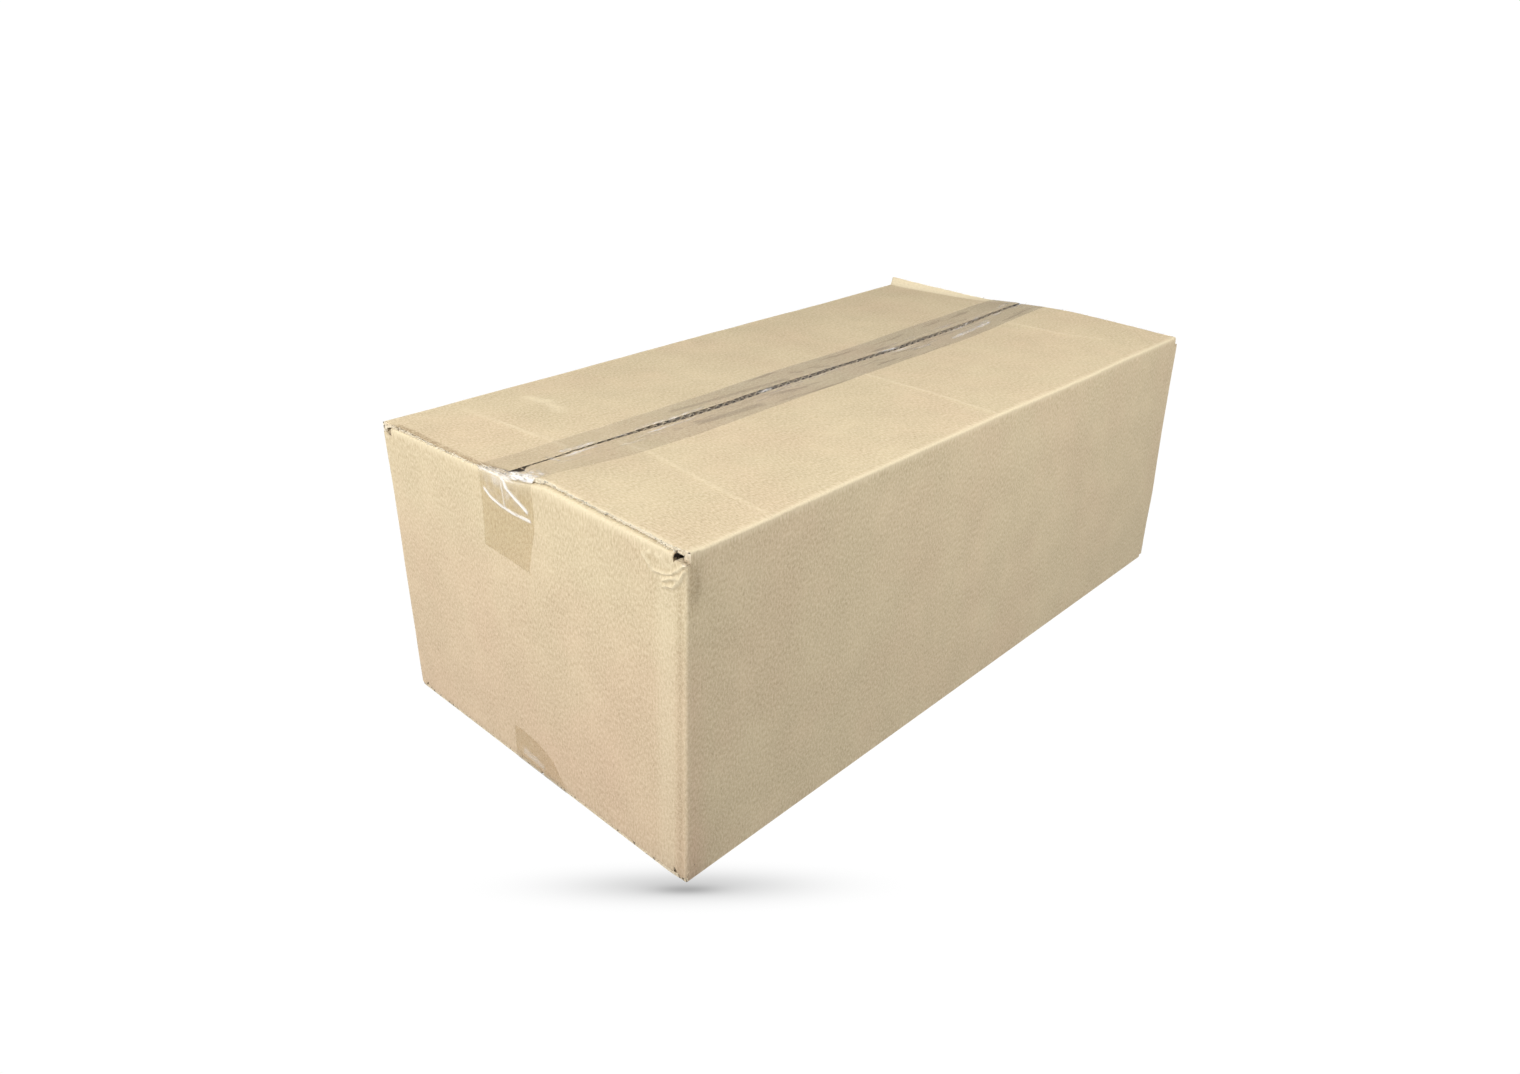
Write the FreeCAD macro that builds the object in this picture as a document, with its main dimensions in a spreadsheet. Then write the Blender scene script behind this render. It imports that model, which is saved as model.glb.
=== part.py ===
import FreeCAD, Part

import math
import os

import Sketcher

# A closed cardboard box: a regular slotted carton folded from one sheet of corrugated board,
# and the two strips of clear packing tape that close it. All sizes are in millimetres.
# X runs along the box from its front end to its rear end, Y across it from its right side to
# its left side, and Z up. The origin is on the floor under its centre.

document = FreeCAD.newDocument("ClosedCarton")

# Driving dimensions

SIZES = {
    "outer_length": 530,
    "outer_width": 260,
    "outer_height": 190,
    "board": 4,
    "bend_radius": 0.5,
    "layer_gap": 0.3,
    "short_flap_reach": 130,
    "short_flap_setback": 0.5,
    "long_flap_setback": 0.5,
    "right_flap_slant": 5,
    "seam_gap": 2,
    "top_seam_offset": 8,
    "bottom_seam_offset": -5,
    "tab_reach": 35,
    "film": 0.06,
    "adhesive": 0.02,
    "tape_width": 48,
    "top_tail": 48,
    "bottom_tail": 20,
    "bottom_tail_short_side": 4,
}

sheet = document.addObject("Spreadsheet::Sheet", "Sizes")
for row, (alias, size) in enumerate(SIZES.items(), start=1):
    sheet.set(f"A{row}", alias)
    sheet.set(f"B{row}", str(size))
    sheet.setAlias(f"B{row}", alias)
document.recompute()

# Places that several pieces share, worked out from the driving dimensions

END = "Sizes.outer_length / 2"
SIDE = "Sizes.outer_width / 2"
TOP = "Sizes.outer_height / 2"
BOARD = "Sizes.board"
INNER_BEND = "Sizes.bend_radius"
OUTER_BEND = "(Sizes.bend_radius + Sizes.board)"
SHORT_FLAP_TOP = f"({TOP} - Sizes.board - Sizes.layer_gap)"
POST_TOP = f"({SHORT_FLAP_TOP} - {OUTER_BEND})"
LONG_FLAP_END = f"({END} - {OUTER_BEND} - Sizes.long_flap_setback)"
SHORT_FLAP_END = f"({SIDE} - {BOARD} - {OUTER_BEND} - Sizes.short_flap_setback)"
TAPE_LIFT = "(Sizes.adhesive + Sizes.film)"


def new_sketch(body, name, plane_role):
    """An empty sketch on one of the body's own origin planes."""
    plane = next(part for part in body.Origin.OriginFeatures if part.Role == plane_role)
    sketch = body.newObject("Sketcher::SketchObject", name)
    sketch.AttachmentSupport = (plane, [""])
    sketch.MapMode = "FlatFace"
    return sketch


def bind(sketch, kind, *elements, expression):
    """Add a constraint whose size follows an expression."""
    size = float(sketch.evalExpression(expression))
    index = sketch.addConstraint(Sketcher.Constraint(kind, *elements, size))
    sketch.setExpression(f"Constraints[{index}]", expression)


def draw_outline(sketch, sides):
    """Draw a closed outline of upright and level sides that are joined by bends or sharp corners.

    Each side is (direction, place, bend): its direction, the x of an upright side or the y of a
    level one, and the radius of the bend that leads to the next side, or None for a sharp corner.
    """
    count = len(sides)
    places = [float(sketch.evalExpression(place)) for _, place, _ in sides]
    corners = []
    for index, (direction, _, _) in enumerate(sides):
        following = places[(index + 1) % count]
        if direction == "upright":
            corners.append(FreeCAD.Vector(places[index], following, 0))
        else:
            corners.append(FreeCAD.Vector(following, places[index], 0))
    headings = [(corners[index] - corners[index - 1]).normalize() for index in range(count)]
    bends = [float(sketch.evalExpression(bend)) if bend else 0.0 for _, _, bend in sides]

    lines = []
    for index, (direction, place, _) in enumerate(sides):
        start = corners[index - 1] + headings[index] * bends[index - 1]
        finish = corners[index] - headings[index] * bends[index]
        line = sketch.addGeometry(Part.LineSegment(start, finish))
        lines.append(line)
        if direction == "upright":
            sketch.addConstraint(Sketcher.Constraint("Vertical", line))
            bind(sketch, "DistanceX", -1, 1, line, 1, expression=place)
        else:
            sketch.addConstraint(Sketcher.Constraint("Horizontal", line))
            bind(sketch, "DistanceY", -1, 1, line, 1, expression=place)

    for index, (_, _, bend) in enumerate(sides):
        line = lines[index]
        following = lines[(index + 1) % count]
        if not bend:
            sketch.addConstraint(Sketcher.Constraint("Coincident", line, 2, following, 1))
            continue
        heading = headings[index]
        turned = headings[(index + 1) % count]
        centre = corners[index] + (turned - heading) * bends[index]
        left_turn = heading.cross(turned).z > 0
        arc_start = -turned if left_turn else heading
        start_angle = math.atan2(arc_start.y, arc_start.x)
        circle = Part.Circle(centre, FreeCAD.Vector(0, 0, 1), bends[index])
        arc = sketch.addGeometry(Part.ArcOfCircle(circle, start_angle, start_angle + math.pi / 2))
        first_end, last_end = (1, 2) if left_turn else (2, 1)
        sketch.addConstraint(Sketcher.Constraint("Tangent", line, 2, arc, first_end))
        sketch.addConstraint(Sketcher.Constraint("Tangent", arc, last_end, following, 1))
        bind(sketch, "Radius", arc, expression=bend)


def draw_triangle(sketch, corners):
    """Draw a triangle through three corners, each one an x and a y."""
    points = []
    for x, y in corners:
        points.append(FreeCAD.Vector(sketch.evalExpression(x), sketch.evalExpression(y), 0))
    for index in range(3):
        sketch.addGeometry(Part.LineSegment(points[index], points[(index + 1) % 3]))
    for index, (x, y) in enumerate(corners):
        sketch.addConstraint(Sketcher.Constraint("Coincident", index, 2, (index + 1) % 3, 1))
        bind(sketch, "DistanceX", -1, 1, index, 1, expression=x)
        bind(sketch, "DistanceY", -1, 1, index, 1, expression=y)


def pad_both_ways(body, name, sketch, length):
    """Pad a sketch evenly to both sides of its plane."""
    pad = body.newObject("PartDesign::Pad", name)
    pad.Profile = sketch
    pad.SideType = "Symmetric"
    pad.setExpression("Length", length)
    document.recompute()


# Carton


def add_tube(body):
    """The four panels' corner posts, with the glue tab inside the hidden rear corner."""
    outside = [
        ("level", f"-1 * {SIDE}", OUTER_BEND),
        ("upright", END, OUTER_BEND),
        ("level", f"{SIDE} - {BOARD}", None),
        ("upright", LONG_FLAP_END, None),
        ("level", SIDE, OUTER_BEND),
        ("upright", f"-1 * {END}", OUTER_BEND),
    ]
    inside = [
        ("level", f"{BOARD} - {SIDE}", INNER_BEND),
        ("upright", f"{END} - {BOARD}", INNER_BEND),
        ("level", f"{SIDE} - 2 * {BOARD}", None),
        ("upright", f"{END} - Sizes.tab_reach", None),
        ("level", f"{SIDE} - {BOARD}", INNER_BEND),
        ("upright", f"{BOARD} - {END}", INNER_BEND),
    ]
    sketch = new_sketch(body, "TubeSection", "XY_Plane")
    draw_outline(sketch, outside)
    draw_outline(sketch, inside)
    pad_both_ways(body, "Tube", sketch, f"2 * {POST_TOP}")


def add_panel_with_flaps(body, name, plane_role, panel, width):
    """A panel with the flap folded in from its top and the flap folded in from its bottom.

    The panel is given by its outward sign, its distance from the centre, the height of its flaps'
    faces and the places of its two flaps' free edges.
    """
    sign, distance, flap_face, top_edge, bottom_edge = panel
    sides = [
        ("upright", f"{sign} * {distance}", OUTER_BEND),
        ("level", flap_face, None),
        ("upright", top_edge, None),
        ("level", f"{flap_face} - {BOARD}", INNER_BEND),
        ("upright", f"{sign} * ({distance} - {BOARD})", INNER_BEND),
        ("level", f"{BOARD} - {flap_face}", None),
        ("upright", bottom_edge, None),
        ("level", f"-1 * {flap_face}", OUTER_BEND),
    ]
    sketch = new_sketch(body, f"{name}Section", plane_role)
    draw_outline(sketch, sides)
    pad_both_ways(body, name, sketch, width)


def slant_right_flap(body):
    """The top right flap's front edge runs back from its fold to the seam."""
    front = f"-1 * {LONG_FLAP_END}"
    fold = f"{OUTER_BEND} - {SIDE}"
    seam = "Sizes.top_seam_offset - Sizes.seam_gap / 2"
    sketch = new_sketch(body, "RightFlapSlant", "XY_Plane")
    sketch.setExpression("AttachmentOffset.Base.z", TOP)
    draw_triangle(sketch, [(front, fold), (f"{front} + Sizes.right_flap_slant", seam), (front, seam)])
    pocket = body.newObject("PartDesign::Pocket", "RightFlapCut")
    pocket.Profile = sketch
    pocket.setExpression("Length", BOARD)
    document.recompute()


def make_carton():
    """The folded sheet, made about its own centre."""
    body = document.addObject("PartDesign::Body", "Carton")
    body.Label = "carton"
    add_tube(body)

    for sign, name in ((-1, "FrontEnd"), (1, "RearEnd")):
        free_edge = f"{sign} * ({END} - Sizes.short_flap_reach)"
        panel = (sign, END, SHORT_FLAP_TOP, free_edge, free_edge)
        add_panel_with_flaps(body, name, "XZ_Plane", panel, f"2 * {SHORT_FLAP_END}")

    for sign, name in ((-1, "RightSide"), (1, "LeftSide")):
        half_gap = f"{sign} * Sizes.seam_gap / 2"
        top_edge = f"Sizes.top_seam_offset + {half_gap}"
        bottom_edge = f"Sizes.bottom_seam_offset + {half_gap}"
        panel = (sign, SIDE, f"({TOP})", top_edge, bottom_edge)
        add_panel_with_flaps(body, name, "YZ_Plane", panel, f"2 * {LONG_FLAP_END}")
    slant_right_flap(body)

    body.setExpression("Placement.Base.z", f"{TOP} + {TAPE_LIFT}")
    return body


# Packing tape


def draw_tape_half(sketch, tail):
    """Half of a strip seen from the side: level over the seam, down over the flaps' cut edge to
    the end panel's fold, round the fold and down the end panel for the length of the tail."""

    def value(expression):
        return float(sketch.evalExpression(expression))

    flap_face = f"{TOP} + Sizes.adhesive"
    flap_end = f"-1 * {LONG_FLAP_END}"
    fold_x = f"{OUTER_BEND} - {END}"
    tail_end = f"{TOP} - {tail}"
    under_radius = f"{OUTER_BEND} + Sizes.adhesive"
    over_radius = f"{OUTER_BEND} + {TAPE_LIFT}"

    # The straight run leaves the flaps' edge and touches the fold at the angle called wrap.
    fold = FreeCAD.Vector(value(fold_x), value(POST_TOP), 0)
    corner = FreeCAD.Vector(value(flap_end), value(flap_face), 0)
    reach = corner - fold
    wrap = math.atan2(reach.y, -reach.x) - math.acos(value(under_radius) / reach.Length)
    outwards = FreeCAD.Vector(-math.cos(wrap), math.sin(wrap), 0)
    film = value("Sizes.film")
    bottom = value(tail_end)

    def draw_face(radius, face_corner, face_height):
        centre_line = Part.LineSegment(FreeCAD.Vector(0, face_height, 0), face_corner)
        slope = Part.LineSegment(face_corner, fold + outwards * radius)
        circle = Part.Circle(fold, FreeCAD.Vector(0, 0, 1), radius)
        bend = Part.ArcOfCircle(circle, math.pi - wrap, math.pi)
        side = fold - FreeCAD.Vector(radius, 0, 0)
        drop = Part.LineSegment(side, FreeCAD.Vector(side.x, bottom, 0))
        return [sketch.addGeometry(edge) for edge in (centre_line, slope, bend, drop)]

    over_corner = corner + FreeCAD.Vector(-film * math.tan((math.pi / 2 - wrap) / 2), film, 0)
    under = draw_face(value(under_radius), corner, corner.y)
    over = draw_face(value(over_radius), over_corner, corner.y + film)
    faces = (
        (under, flap_face, under_radius),
        (over, f"{flap_face} + Sizes.film", over_radius),
    )
    for (level, slope, bend, drop), height, radius in faces:
        sketch.addConstraint(Sketcher.Constraint("Horizontal", level))
        sketch.addConstraint(Sketcher.Constraint("PointOnObject", level, 1, -2))
        bind(sketch, "DistanceY", -1, 1, level, 1, expression=height)
        sketch.addConstraint(Sketcher.Constraint("Coincident", level, 2, slope, 1))
        sketch.addConstraint(Sketcher.Constraint("Tangent", slope, 2, bend, 1))
        sketch.addConstraint(Sketcher.Constraint("Tangent", bend, 2, drop, 1))
        sketch.addConstraint(Sketcher.Constraint("Vertical", drop))
        bind(sketch, "Radius", bend, expression=radius)
        bind(sketch, "DistanceX", -1, 1, bend, 3, expression=fold_x)
        bind(sketch, "DistanceY", -1, 1, bend, 3, expression=POST_TOP)
        bind(sketch, "DistanceY", -1, 1, drop, 2, expression=tail_end)
    bind(sketch, "DistanceX", -1, 1, under[0], 2, expression=flap_end)
    sketch.addConstraint(Sketcher.Constraint("Parallel", under[1], over[1]))

    # The centre of the strip and the cut end of the tail close the outline.
    for edge, end in ((0, 1), (3, 2)):
        start = sketch.getPoint(under[edge], end)
        finish = sketch.getPoint(over[edge], end)
        cap = sketch.addGeometry(Part.LineSegment(start, finish))
        sketch.addConstraint(Sketcher.Constraint("Coincident", under[edge], end, cap, 1))
        sketch.addConstraint(Sketcher.Constraint("Coincident", over[edge], end, cap, 2))


def make_tape(name, label, tail):
    """A strip of tape over a seam, the same at both ends, made about the carton's centre."""
    body = document.addObject("PartDesign::Body", name)
    body.Label = label
    sketch = new_sketch(body, f"{name}Half", "XZ_Plane")
    draw_tape_half(sketch, tail)
    pad_both_ways(body, f"{name}Strip", sketch, "Sizes.tape_width")
    mirrored = body.newObject("PartDesign::Mirrored", f"{name}BothEnds")
    mirrored.Originals = [body.Tip]
    middle = next(part for part in body.Origin.OriginFeatures if part.Role == "YZ_Plane")
    mirrored.MirrorPlane = (middle, [""])
    body.Tip = mirrored
    document.recompute()
    return body


def cut_tails_aslant(body, long_side, short_side):
    """Cut both tails off along a slope from the strip's one edge to its other edge."""
    edge = "Sizes.tape_width / 2"
    low = f"{TOP} - {long_side}"
    high = f"{TOP} - {short_side}"
    sketch = new_sketch(body, f"{body.Name}Slope", "YZ_Plane")
    draw_triangle(sketch, [(f"-1 * {edge}", low), (edge, low), (edge, high)])
    pocket = body.newObject("PartDesign::Pocket", f"{body.Name}Cut")
    pocket.Profile = sketch
    pocket.SideType = "Symmetric"
    pocket.Type = "ThroughAll"
    document.recompute()


def make_top_tape():
    """The strip over the top seam."""
    body = make_tape("TopTape", "top_tape", "Sizes.top_tail")
    body.setExpression("Placement.Base.y", "Sizes.top_seam_offset")
    body.setExpression("Placement.Base.z", f"{TOP} + {TAPE_LIFT}")
    return body


def make_bottom_tape():
    """The strip under the bottom seam: it is turned over, and its tails are cut aslant."""
    body = make_tape("BottomTape", "bottom_tape", "Sizes.bottom_tail")
    cut_tails_aslant(body, "Sizes.bottom_tail", "Sizes.bottom_tail_short_side")
    body.Placement.Rotation = FreeCAD.Rotation(FreeCAD.Vector(1, 0, 0), 180)
    body.setExpression("Placement.Base.y", "Sizes.bottom_seam_offset")
    body.setExpression("Placement.Base.z", f"{TOP} + {TAPE_LIFT}")
    return body


pieces = [make_carton(), make_top_tape(), make_bottom_tape()]
document.recompute()

# Every object is sound and every piece is one valid solid before anything is written.

for item in document.Objects:
    faults = {"Invalid", "Error"} & set(item.State)
    if faults:
        raise RuntimeError(f"{item.Name} is {', '.join(sorted(faults))}")
for piece in pieces:
    shape = piece.Shape
    if shape.isNull() or not shape.isValid() or len(shape.Solids) != 1:
        raise RuntimeError(f"{piece.Label} is not one valid solid")

os.makedirs("parts", exist_ok=True)
for piece in pieces:
    piece.Shape.exportStep(f"parts/{piece.Label}.step")
    box = piece.Shape.BoundBox
    print(f"{piece.Label}: {piece.Shape.Volume:.1f} cubic mm, "
          f"{box.XLength:.2f} by {box.YLength:.2f} by {box.ZLength:.2f}, lowest {box.ZMin:.3f}")
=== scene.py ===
import math

import bmesh
import bpy
import numpy as np
from mathutils import Matrix, Vector, noise


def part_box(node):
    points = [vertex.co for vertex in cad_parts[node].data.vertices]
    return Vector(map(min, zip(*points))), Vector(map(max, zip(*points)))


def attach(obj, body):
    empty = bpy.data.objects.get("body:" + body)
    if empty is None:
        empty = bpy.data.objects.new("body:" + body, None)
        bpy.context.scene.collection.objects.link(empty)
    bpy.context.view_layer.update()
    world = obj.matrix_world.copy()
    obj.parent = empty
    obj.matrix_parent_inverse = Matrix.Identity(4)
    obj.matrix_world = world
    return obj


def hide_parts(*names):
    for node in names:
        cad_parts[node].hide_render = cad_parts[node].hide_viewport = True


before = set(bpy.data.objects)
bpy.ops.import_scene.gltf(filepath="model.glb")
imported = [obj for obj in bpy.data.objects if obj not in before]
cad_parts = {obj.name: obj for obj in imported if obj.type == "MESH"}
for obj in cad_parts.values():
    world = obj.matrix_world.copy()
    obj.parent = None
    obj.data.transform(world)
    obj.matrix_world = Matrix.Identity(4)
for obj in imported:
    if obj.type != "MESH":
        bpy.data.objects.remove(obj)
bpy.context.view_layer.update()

# Everything is in metres. The front end of the box is at -X, its right side at -Y.

CARTON_LOW, CARTON_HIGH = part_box("carton")
TOP_TAPE_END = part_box("top_tape")[0][2]
BOTTOM_TAPE_MIDDLE = (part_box("bottom_tape")[0][1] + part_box("bottom_tape")[1][1]) / 2
END, SIDE, TOP = CARTON_HIGH
UNDERSIDE = CARTON_LOW[2]
MIDDLE_HEIGHT = (UNDERSIDE + TOP) / 2

# Sizes of the board and of how it folds: FOLD is the outer radius of a bend, and SQUARENESS says how
# much squarer than round it is, since 2 would be round.

BOARD = 0.004
LINER = 0.0005
FOLD = 0.0045
LAYER_GAP = 0.0003
SETBACK = 0.0005
LONG_FLAP_END = END - FOLD - SETBACK
SHORT_FLAP_END = SIDE - BOARD - FOLD - SETBACK
SHORT_FLAP_REACH = 0.130
SEAM_GAP = 0.002
TOP_SEAM = 0.008
BOTTOM_SEAM = -0.005
TAB_REACH = 0.035
GLUE = 0.0001
SQUARENESS = 6.0
FLUTE_PITCH = 0.0075
FLUTE_DEPTH = 0.005
POST_TOP = TOP - BOARD - LAYER_GAP - FOLD
POST_FOOT = 2 * MIDDLE_HEIGHT - POST_TOP


# Plain meshes


def graded(start, finish, fine, coarse, growth=1.3):
    """Places from start to finish, with fine steps at both ends that grow to coarse ones."""
    length = abs(finish - start)
    half = [0.0]
    step = fine
    while half[-1] < length / 2:
        half.append(half[-1] + step)
        step = min(step * growth, coarse)
    half = np.array(half) * (length / 2 / half[-1])
    along = np.concatenate([half, (length - half[::-1])[1:]])
    return start + math.copysign(1.0, finish - start) * along


def grid_faces(rows, columns, first):
    """The faces of a grid of points that is stored row by row from the point called first."""
    faces = []
    for row in range(rows - 1):
        for column in range(columns - 1):
            corner = first + row * columns + column
            faces.append((corner, corner + 1, corner + columns + 1, corner + columns))
    return faces


def smooth_step(low, high, values):
    """0 below low, 1 above high and a smooth rise between."""
    share = np.clip((values - low) / (high - low), 0.0, 1.0)
    return share * share * (3 - 2 * share)


def band(values, low, full, falling, high):
    """0 outside low to high, 1 between full and falling, and smooth in between."""
    return smooth_step(low, full, values) * smooth_step(high, falling, values)


def bell(values, width):
    """1 at zero, falling smoothly to nothing at a few widths."""
    return np.exp(-((values / width) ** 2))


def vertex_places(mesh):
    """The mesh's points as an array of rows."""
    places = np.empty(len(mesh.vertices) * 3)
    mesh.vertices.foreach_get("co", places)
    return places.reshape(-1, 3)


def move_vertices(mesh, places):
    """Move the mesh's points to these places."""
    mesh.vertices.foreach_set("co", places.ravel())
    mesh.update()


def add_piece(name, mesh):
    """An object at the origin for a finished mesh."""
    piece = bpy.data.objects.new(name, mesh)
    bpy.context.scene.collection.objects.link(piece)
    return piece


def applied(piece):
    """Replace the piece's mesh by what its modifiers make of it."""
    depsgraph = bpy.context.evaluated_depsgraph_get()
    mesh = bpy.data.meshes.new_from_object(piece.evaluated_get(depsgraph))
    piece.modifiers.clear()
    plain = piece.data
    piece.data = mesh
    bpy.data.meshes.remove(plain)
    return piece


def thicken(piece, thickness, offset, rim=0):
    """Turn an open skin into a closed sheet: the offset says to which side of the skin it grows."""
    solid = piece.modifiers.new("thickness", "SOLIDIFY")
    solid.thickness = thickness
    solid.offset = offset
    solid.use_rim = True
    solid.material_offset_rim = rim
    applied(piece)


# How use has moved the box: each step moves points of the new box.

# The waves in the board are the same in each run: how long they are and how far they move it.
noise.seed_set(3)
SLOW_WAVE = 0.085
SLOW_RISE = 0.0008
FINE_WAVE = 0.028
FINE_RISE = 0.00022
STEADY_FOOT = 0.030

# Each point of the sheet carries the number of its panel.
WALL, LEFT_FLAP, RIGHT_FLAP, SHORT_FLAP, BOTTOM_FLAP = range(5)

# The eight corners, as the signs of their place, and how far each one has moved
CORNER_SHIFTS = {
    (-1, -1, -1): (-0.0047, -0.0016, 0.0),
    (-1, 1, -1): (0.0011, 0.0004, 0.0),
    (1, -1, -1): (0.0018, -0.0036, 0.0),
    (1, 1, -1): (0.0, 0.0, 0.0),
    (-1, -1, 1): (0.0006, -0.0004, 0.0002),
    (-1, 1, 1): (-0.0030, 0.0009, 0.0006),
    (1, -1, 1): (0.0016, -0.0014, -0.0003),
    (1, 1, 1): (0.0, 0.0003, 0.0019),
}

# Where the top seam runs: its Y at these X
SEAM_X = (-0.260, -0.187, -0.099, 0.044, 0.270)
SEAM_Y = (0.0080, 0.0071, 0.0050, 0.0042, 0.0024)

# The lip bent up along the rear end of the left flap: it ends at LIP_END, short of the seam.
LIP_WIDTH = 0.0072
LIP_RISE = 0.0055
LIP_LEAN = 0.0030
LIP_END = 0.036

# The left flap's edge stands a little proud along the seam.
PROUD_RISE = 0.0004
PROUD_WIDTH = 0.015

# The right flap stands up a little at its rear end, and takes the left one's edge with it.
ARCH_RISE = 0.0036
ARCH_MIDDLE = -0.028
ARCH_WIDTH = 0.068
ARCH_REACH = 0.120
LEFT_ARCH_SHARE = 0.75
LEFT_ARCH_WIDTH = 0.032

# It dips along the seam, where the gap is open: the front part and a stretch by the middle are closed.
OPEN_FROM = (-0.210, -0.120)
CLOSED_MIDDLE = 0.020
CLOSED_STRETCH = 0.020
DIP = 0.0009
DIP_WIDTH = 0.022
GAP_CHANGE = 0.0004
GAP_WIDTH = 0.02
FRONT_CLOSING = 0.0013
CLOSING_RANGE = (-0.23, -0.12)
FRONT_HOLE = 0.0046
FRONT_HOLE_X = -0.2548
FRONT_HOLE_LENGTH = 0.0034

# At the front end the flaps are crushed at their cut edges, and the fold below stands higher.
# Each row: a Y, how far the flaps have risen there, and how far the fold has.
FRONT_RISES = (
    (-0.130, 0.0, 0.0016),
    (-0.118, -0.0004, 0.0020),
    (-0.102, 0.0006, 0.0030),
    (-0.064, 0.0017, 0.0046),
    (-0.045, 0.0025, 0.0056),
    (-0.025, 0.0040, 0.0064),
    (-0.008, 0.0020, 0.0036),
    (0.006, 0.0, 0.0014),
    (0.016, -0.0004, 0.0018),
    (0.038, -0.0018, 0.0022),
    (0.075, -0.0016, 0.0020),
    (0.096, -0.0004, 0.0022),
    (0.130, 0.0, 0.0018),
)
FRONT_Y, FLAP_RISE, FOLD_RISE = zip(*FRONT_RISES)
FLAP_RISE_REACH = 0.075
CRUSH_REACH = 0.022
CRUSH_FULL = 0.005
CRUSH_FOOT = 0.012
BOTTOM_CRUSH = 0.0022

# The corner posts' ends, and the dents at the near corner
POST_RISE = 0.0024
LOW_POST_DROP = 0.0058
POST_END = 0.014
PUSH = 0.0016
PUSH_HEIGHT = 0.166
PUSH_RADIUS = 0.014
PUSH_SPREAD = 0.011
DRAWN_BACK = 0.0011
DRAWN_WIDTH = 0.013
DRAWN_REACH = 0.020
DENT = 0.0011
DENT_FOOT = (0.152, 0.168)

# Creases across the top, as X and Y of their points
TOP_CREASES = (
    ((-0.2165, 0.111), (-0.2168, 0.087), (-0.2140, 0.034), (-0.2181, 0.002)),
    ((-0.1892, 0.002), (-0.1880, -0.020), (-0.1977, -0.071), (-0.2050, -0.124)),
    ((0.0133, -0.016), (0.0101, -0.076), (0.0045, -0.128)),
    ((0.2010, -0.016), (0.1990, -0.060), (0.2100, -0.095)),
)
SCUFFS = (
    ((-0.1765, 0.1030), (-0.1748, 0.0960), (-0.1752, 0.0905)),
    ((-0.1720, 0.0900), (-0.1760, 0.0780), (-0.1785, 0.0690)),
)
CREASE_RISE = 0.0004
CREASE_WIDTH = 0.0012

# Crumples below the near corner of the front end, as Y and Z of their points
CORNER_CREASES = (
    ((-0.1010, 0.1795), (-0.1085, 0.1747), (-0.1162, 0.1752), (-0.1238, 0.1770), (-0.1280, 0.1815)),
    ((-0.1146, 0.1717), (-0.1200, 0.1740), (-0.1238, 0.1738)),
    ((-0.1146, 0.1690), (-0.1215, 0.1700), (-0.1254, 0.1740), (-0.1277, 0.1780)),
)
CORNER_CREASE_RISE = 0.0012
CORNER_CREASE_WIDTH = 0.0008


def line_distance(points, line):
    """How far each flat point is from a line of straight runs."""
    nearest = np.full(len(points), 1.0)
    for start, finish in zip(line[:-1], line[1:]):
        run = np.array(finish) - np.array(start)
        share = np.clip((points - np.array(start)) @ run / (run @ run), 0.0, 1.0)
        gaps = np.linalg.norm(points - np.array(start) - share[:, None] * run, axis=1)
        nearest = np.minimum(nearest, gaps)
    return nearest


def crease_marks(points, lines, width):
    """1 on these creases and nothing a few widths away."""
    marks = np.zeros(len(points))
    for line in lines:
        marks = np.maximum(marks, bell(line_distance(points, line), width))
    return marks


def racked(places):
    """The box stands slightly out of square: its corners have moved, and all between follows."""
    shares = np.empty_like(places)
    shares[:, 0] = places[:, 0] / END
    shares[:, 1] = places[:, 1] / SIDE
    shares[:, 2] = (places[:, 2] - MIDDLE_HEIGHT) / (TOP - MIDDLE_HEIGHT)
    moved = places.copy()
    for signs, shift in CORNER_SHIFTS.items():
        weight = np.prod((1 + shares * np.array(signs)) / 2, axis=1)
        moved += weight[:, None] * np.array(shift)
    return moved


def waved(places):
    """The board is never quite flat: slow waves, and finer ones on them."""
    moved = places.copy()
    standing = np.clip(places[:, 2] / STEADY_FOOT, 0.0, 1.0)
    for row, place in enumerate(places):
        point = Vector(place)
        slow = noise.noise_vector(point / SLOW_WAVE)
        fine = noise.noise_vector(point / FINE_WAVE)
        moved[row] += (np.array(slow) * SLOW_RISE + np.array(fine) * FINE_RISE) * standing[row]
    return moved


def seam_shift(x):
    """How far the top seam lies from its straight line."""
    return np.interp(x, SEAM_X, SEAM_Y) - TOP_SEAM


def seam_share(y):
    """1 at the top seam, falling to nothing at the flaps' folds."""
    reach = np.where(y > TOP_SEAM, SIDE - TOP_SEAM, SIDE + TOP_SEAM)
    return np.clip(1 - np.abs(y - TOP_SEAM) / reach, 0.0, 1.0)


def left_flap_rise(x, y, z):
    """The left flap: its bent rear lip, and its edge a little proud along the seam."""
    bent = np.clip((x - LONG_FLAP_END + LIP_WIDTH) / LIP_WIDTH, 0.0, 1.2) ** 1.5
    taper = np.clip((y - LIP_END) / (SIDE - LIP_END), 0.0, 1.0) ** 0.9
    lip = LIP_RISE * bent * taper
    proud = PROUD_RISE * bell(y - TOP_SEAM, PROUD_WIDTH)
    rear = smooth_step(LONG_FLAP_END - ARCH_REACH, LONG_FLAP_END, x)
    arch = LEFT_ARCH_SHARE * ARCH_RISE * rear * bell(y - TOP_SEAM, LEFT_ARCH_WIDTH)
    return (lip + proud + arch) * smooth_step(POST_TOP, TOP - BOARD / 2, z)


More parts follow.
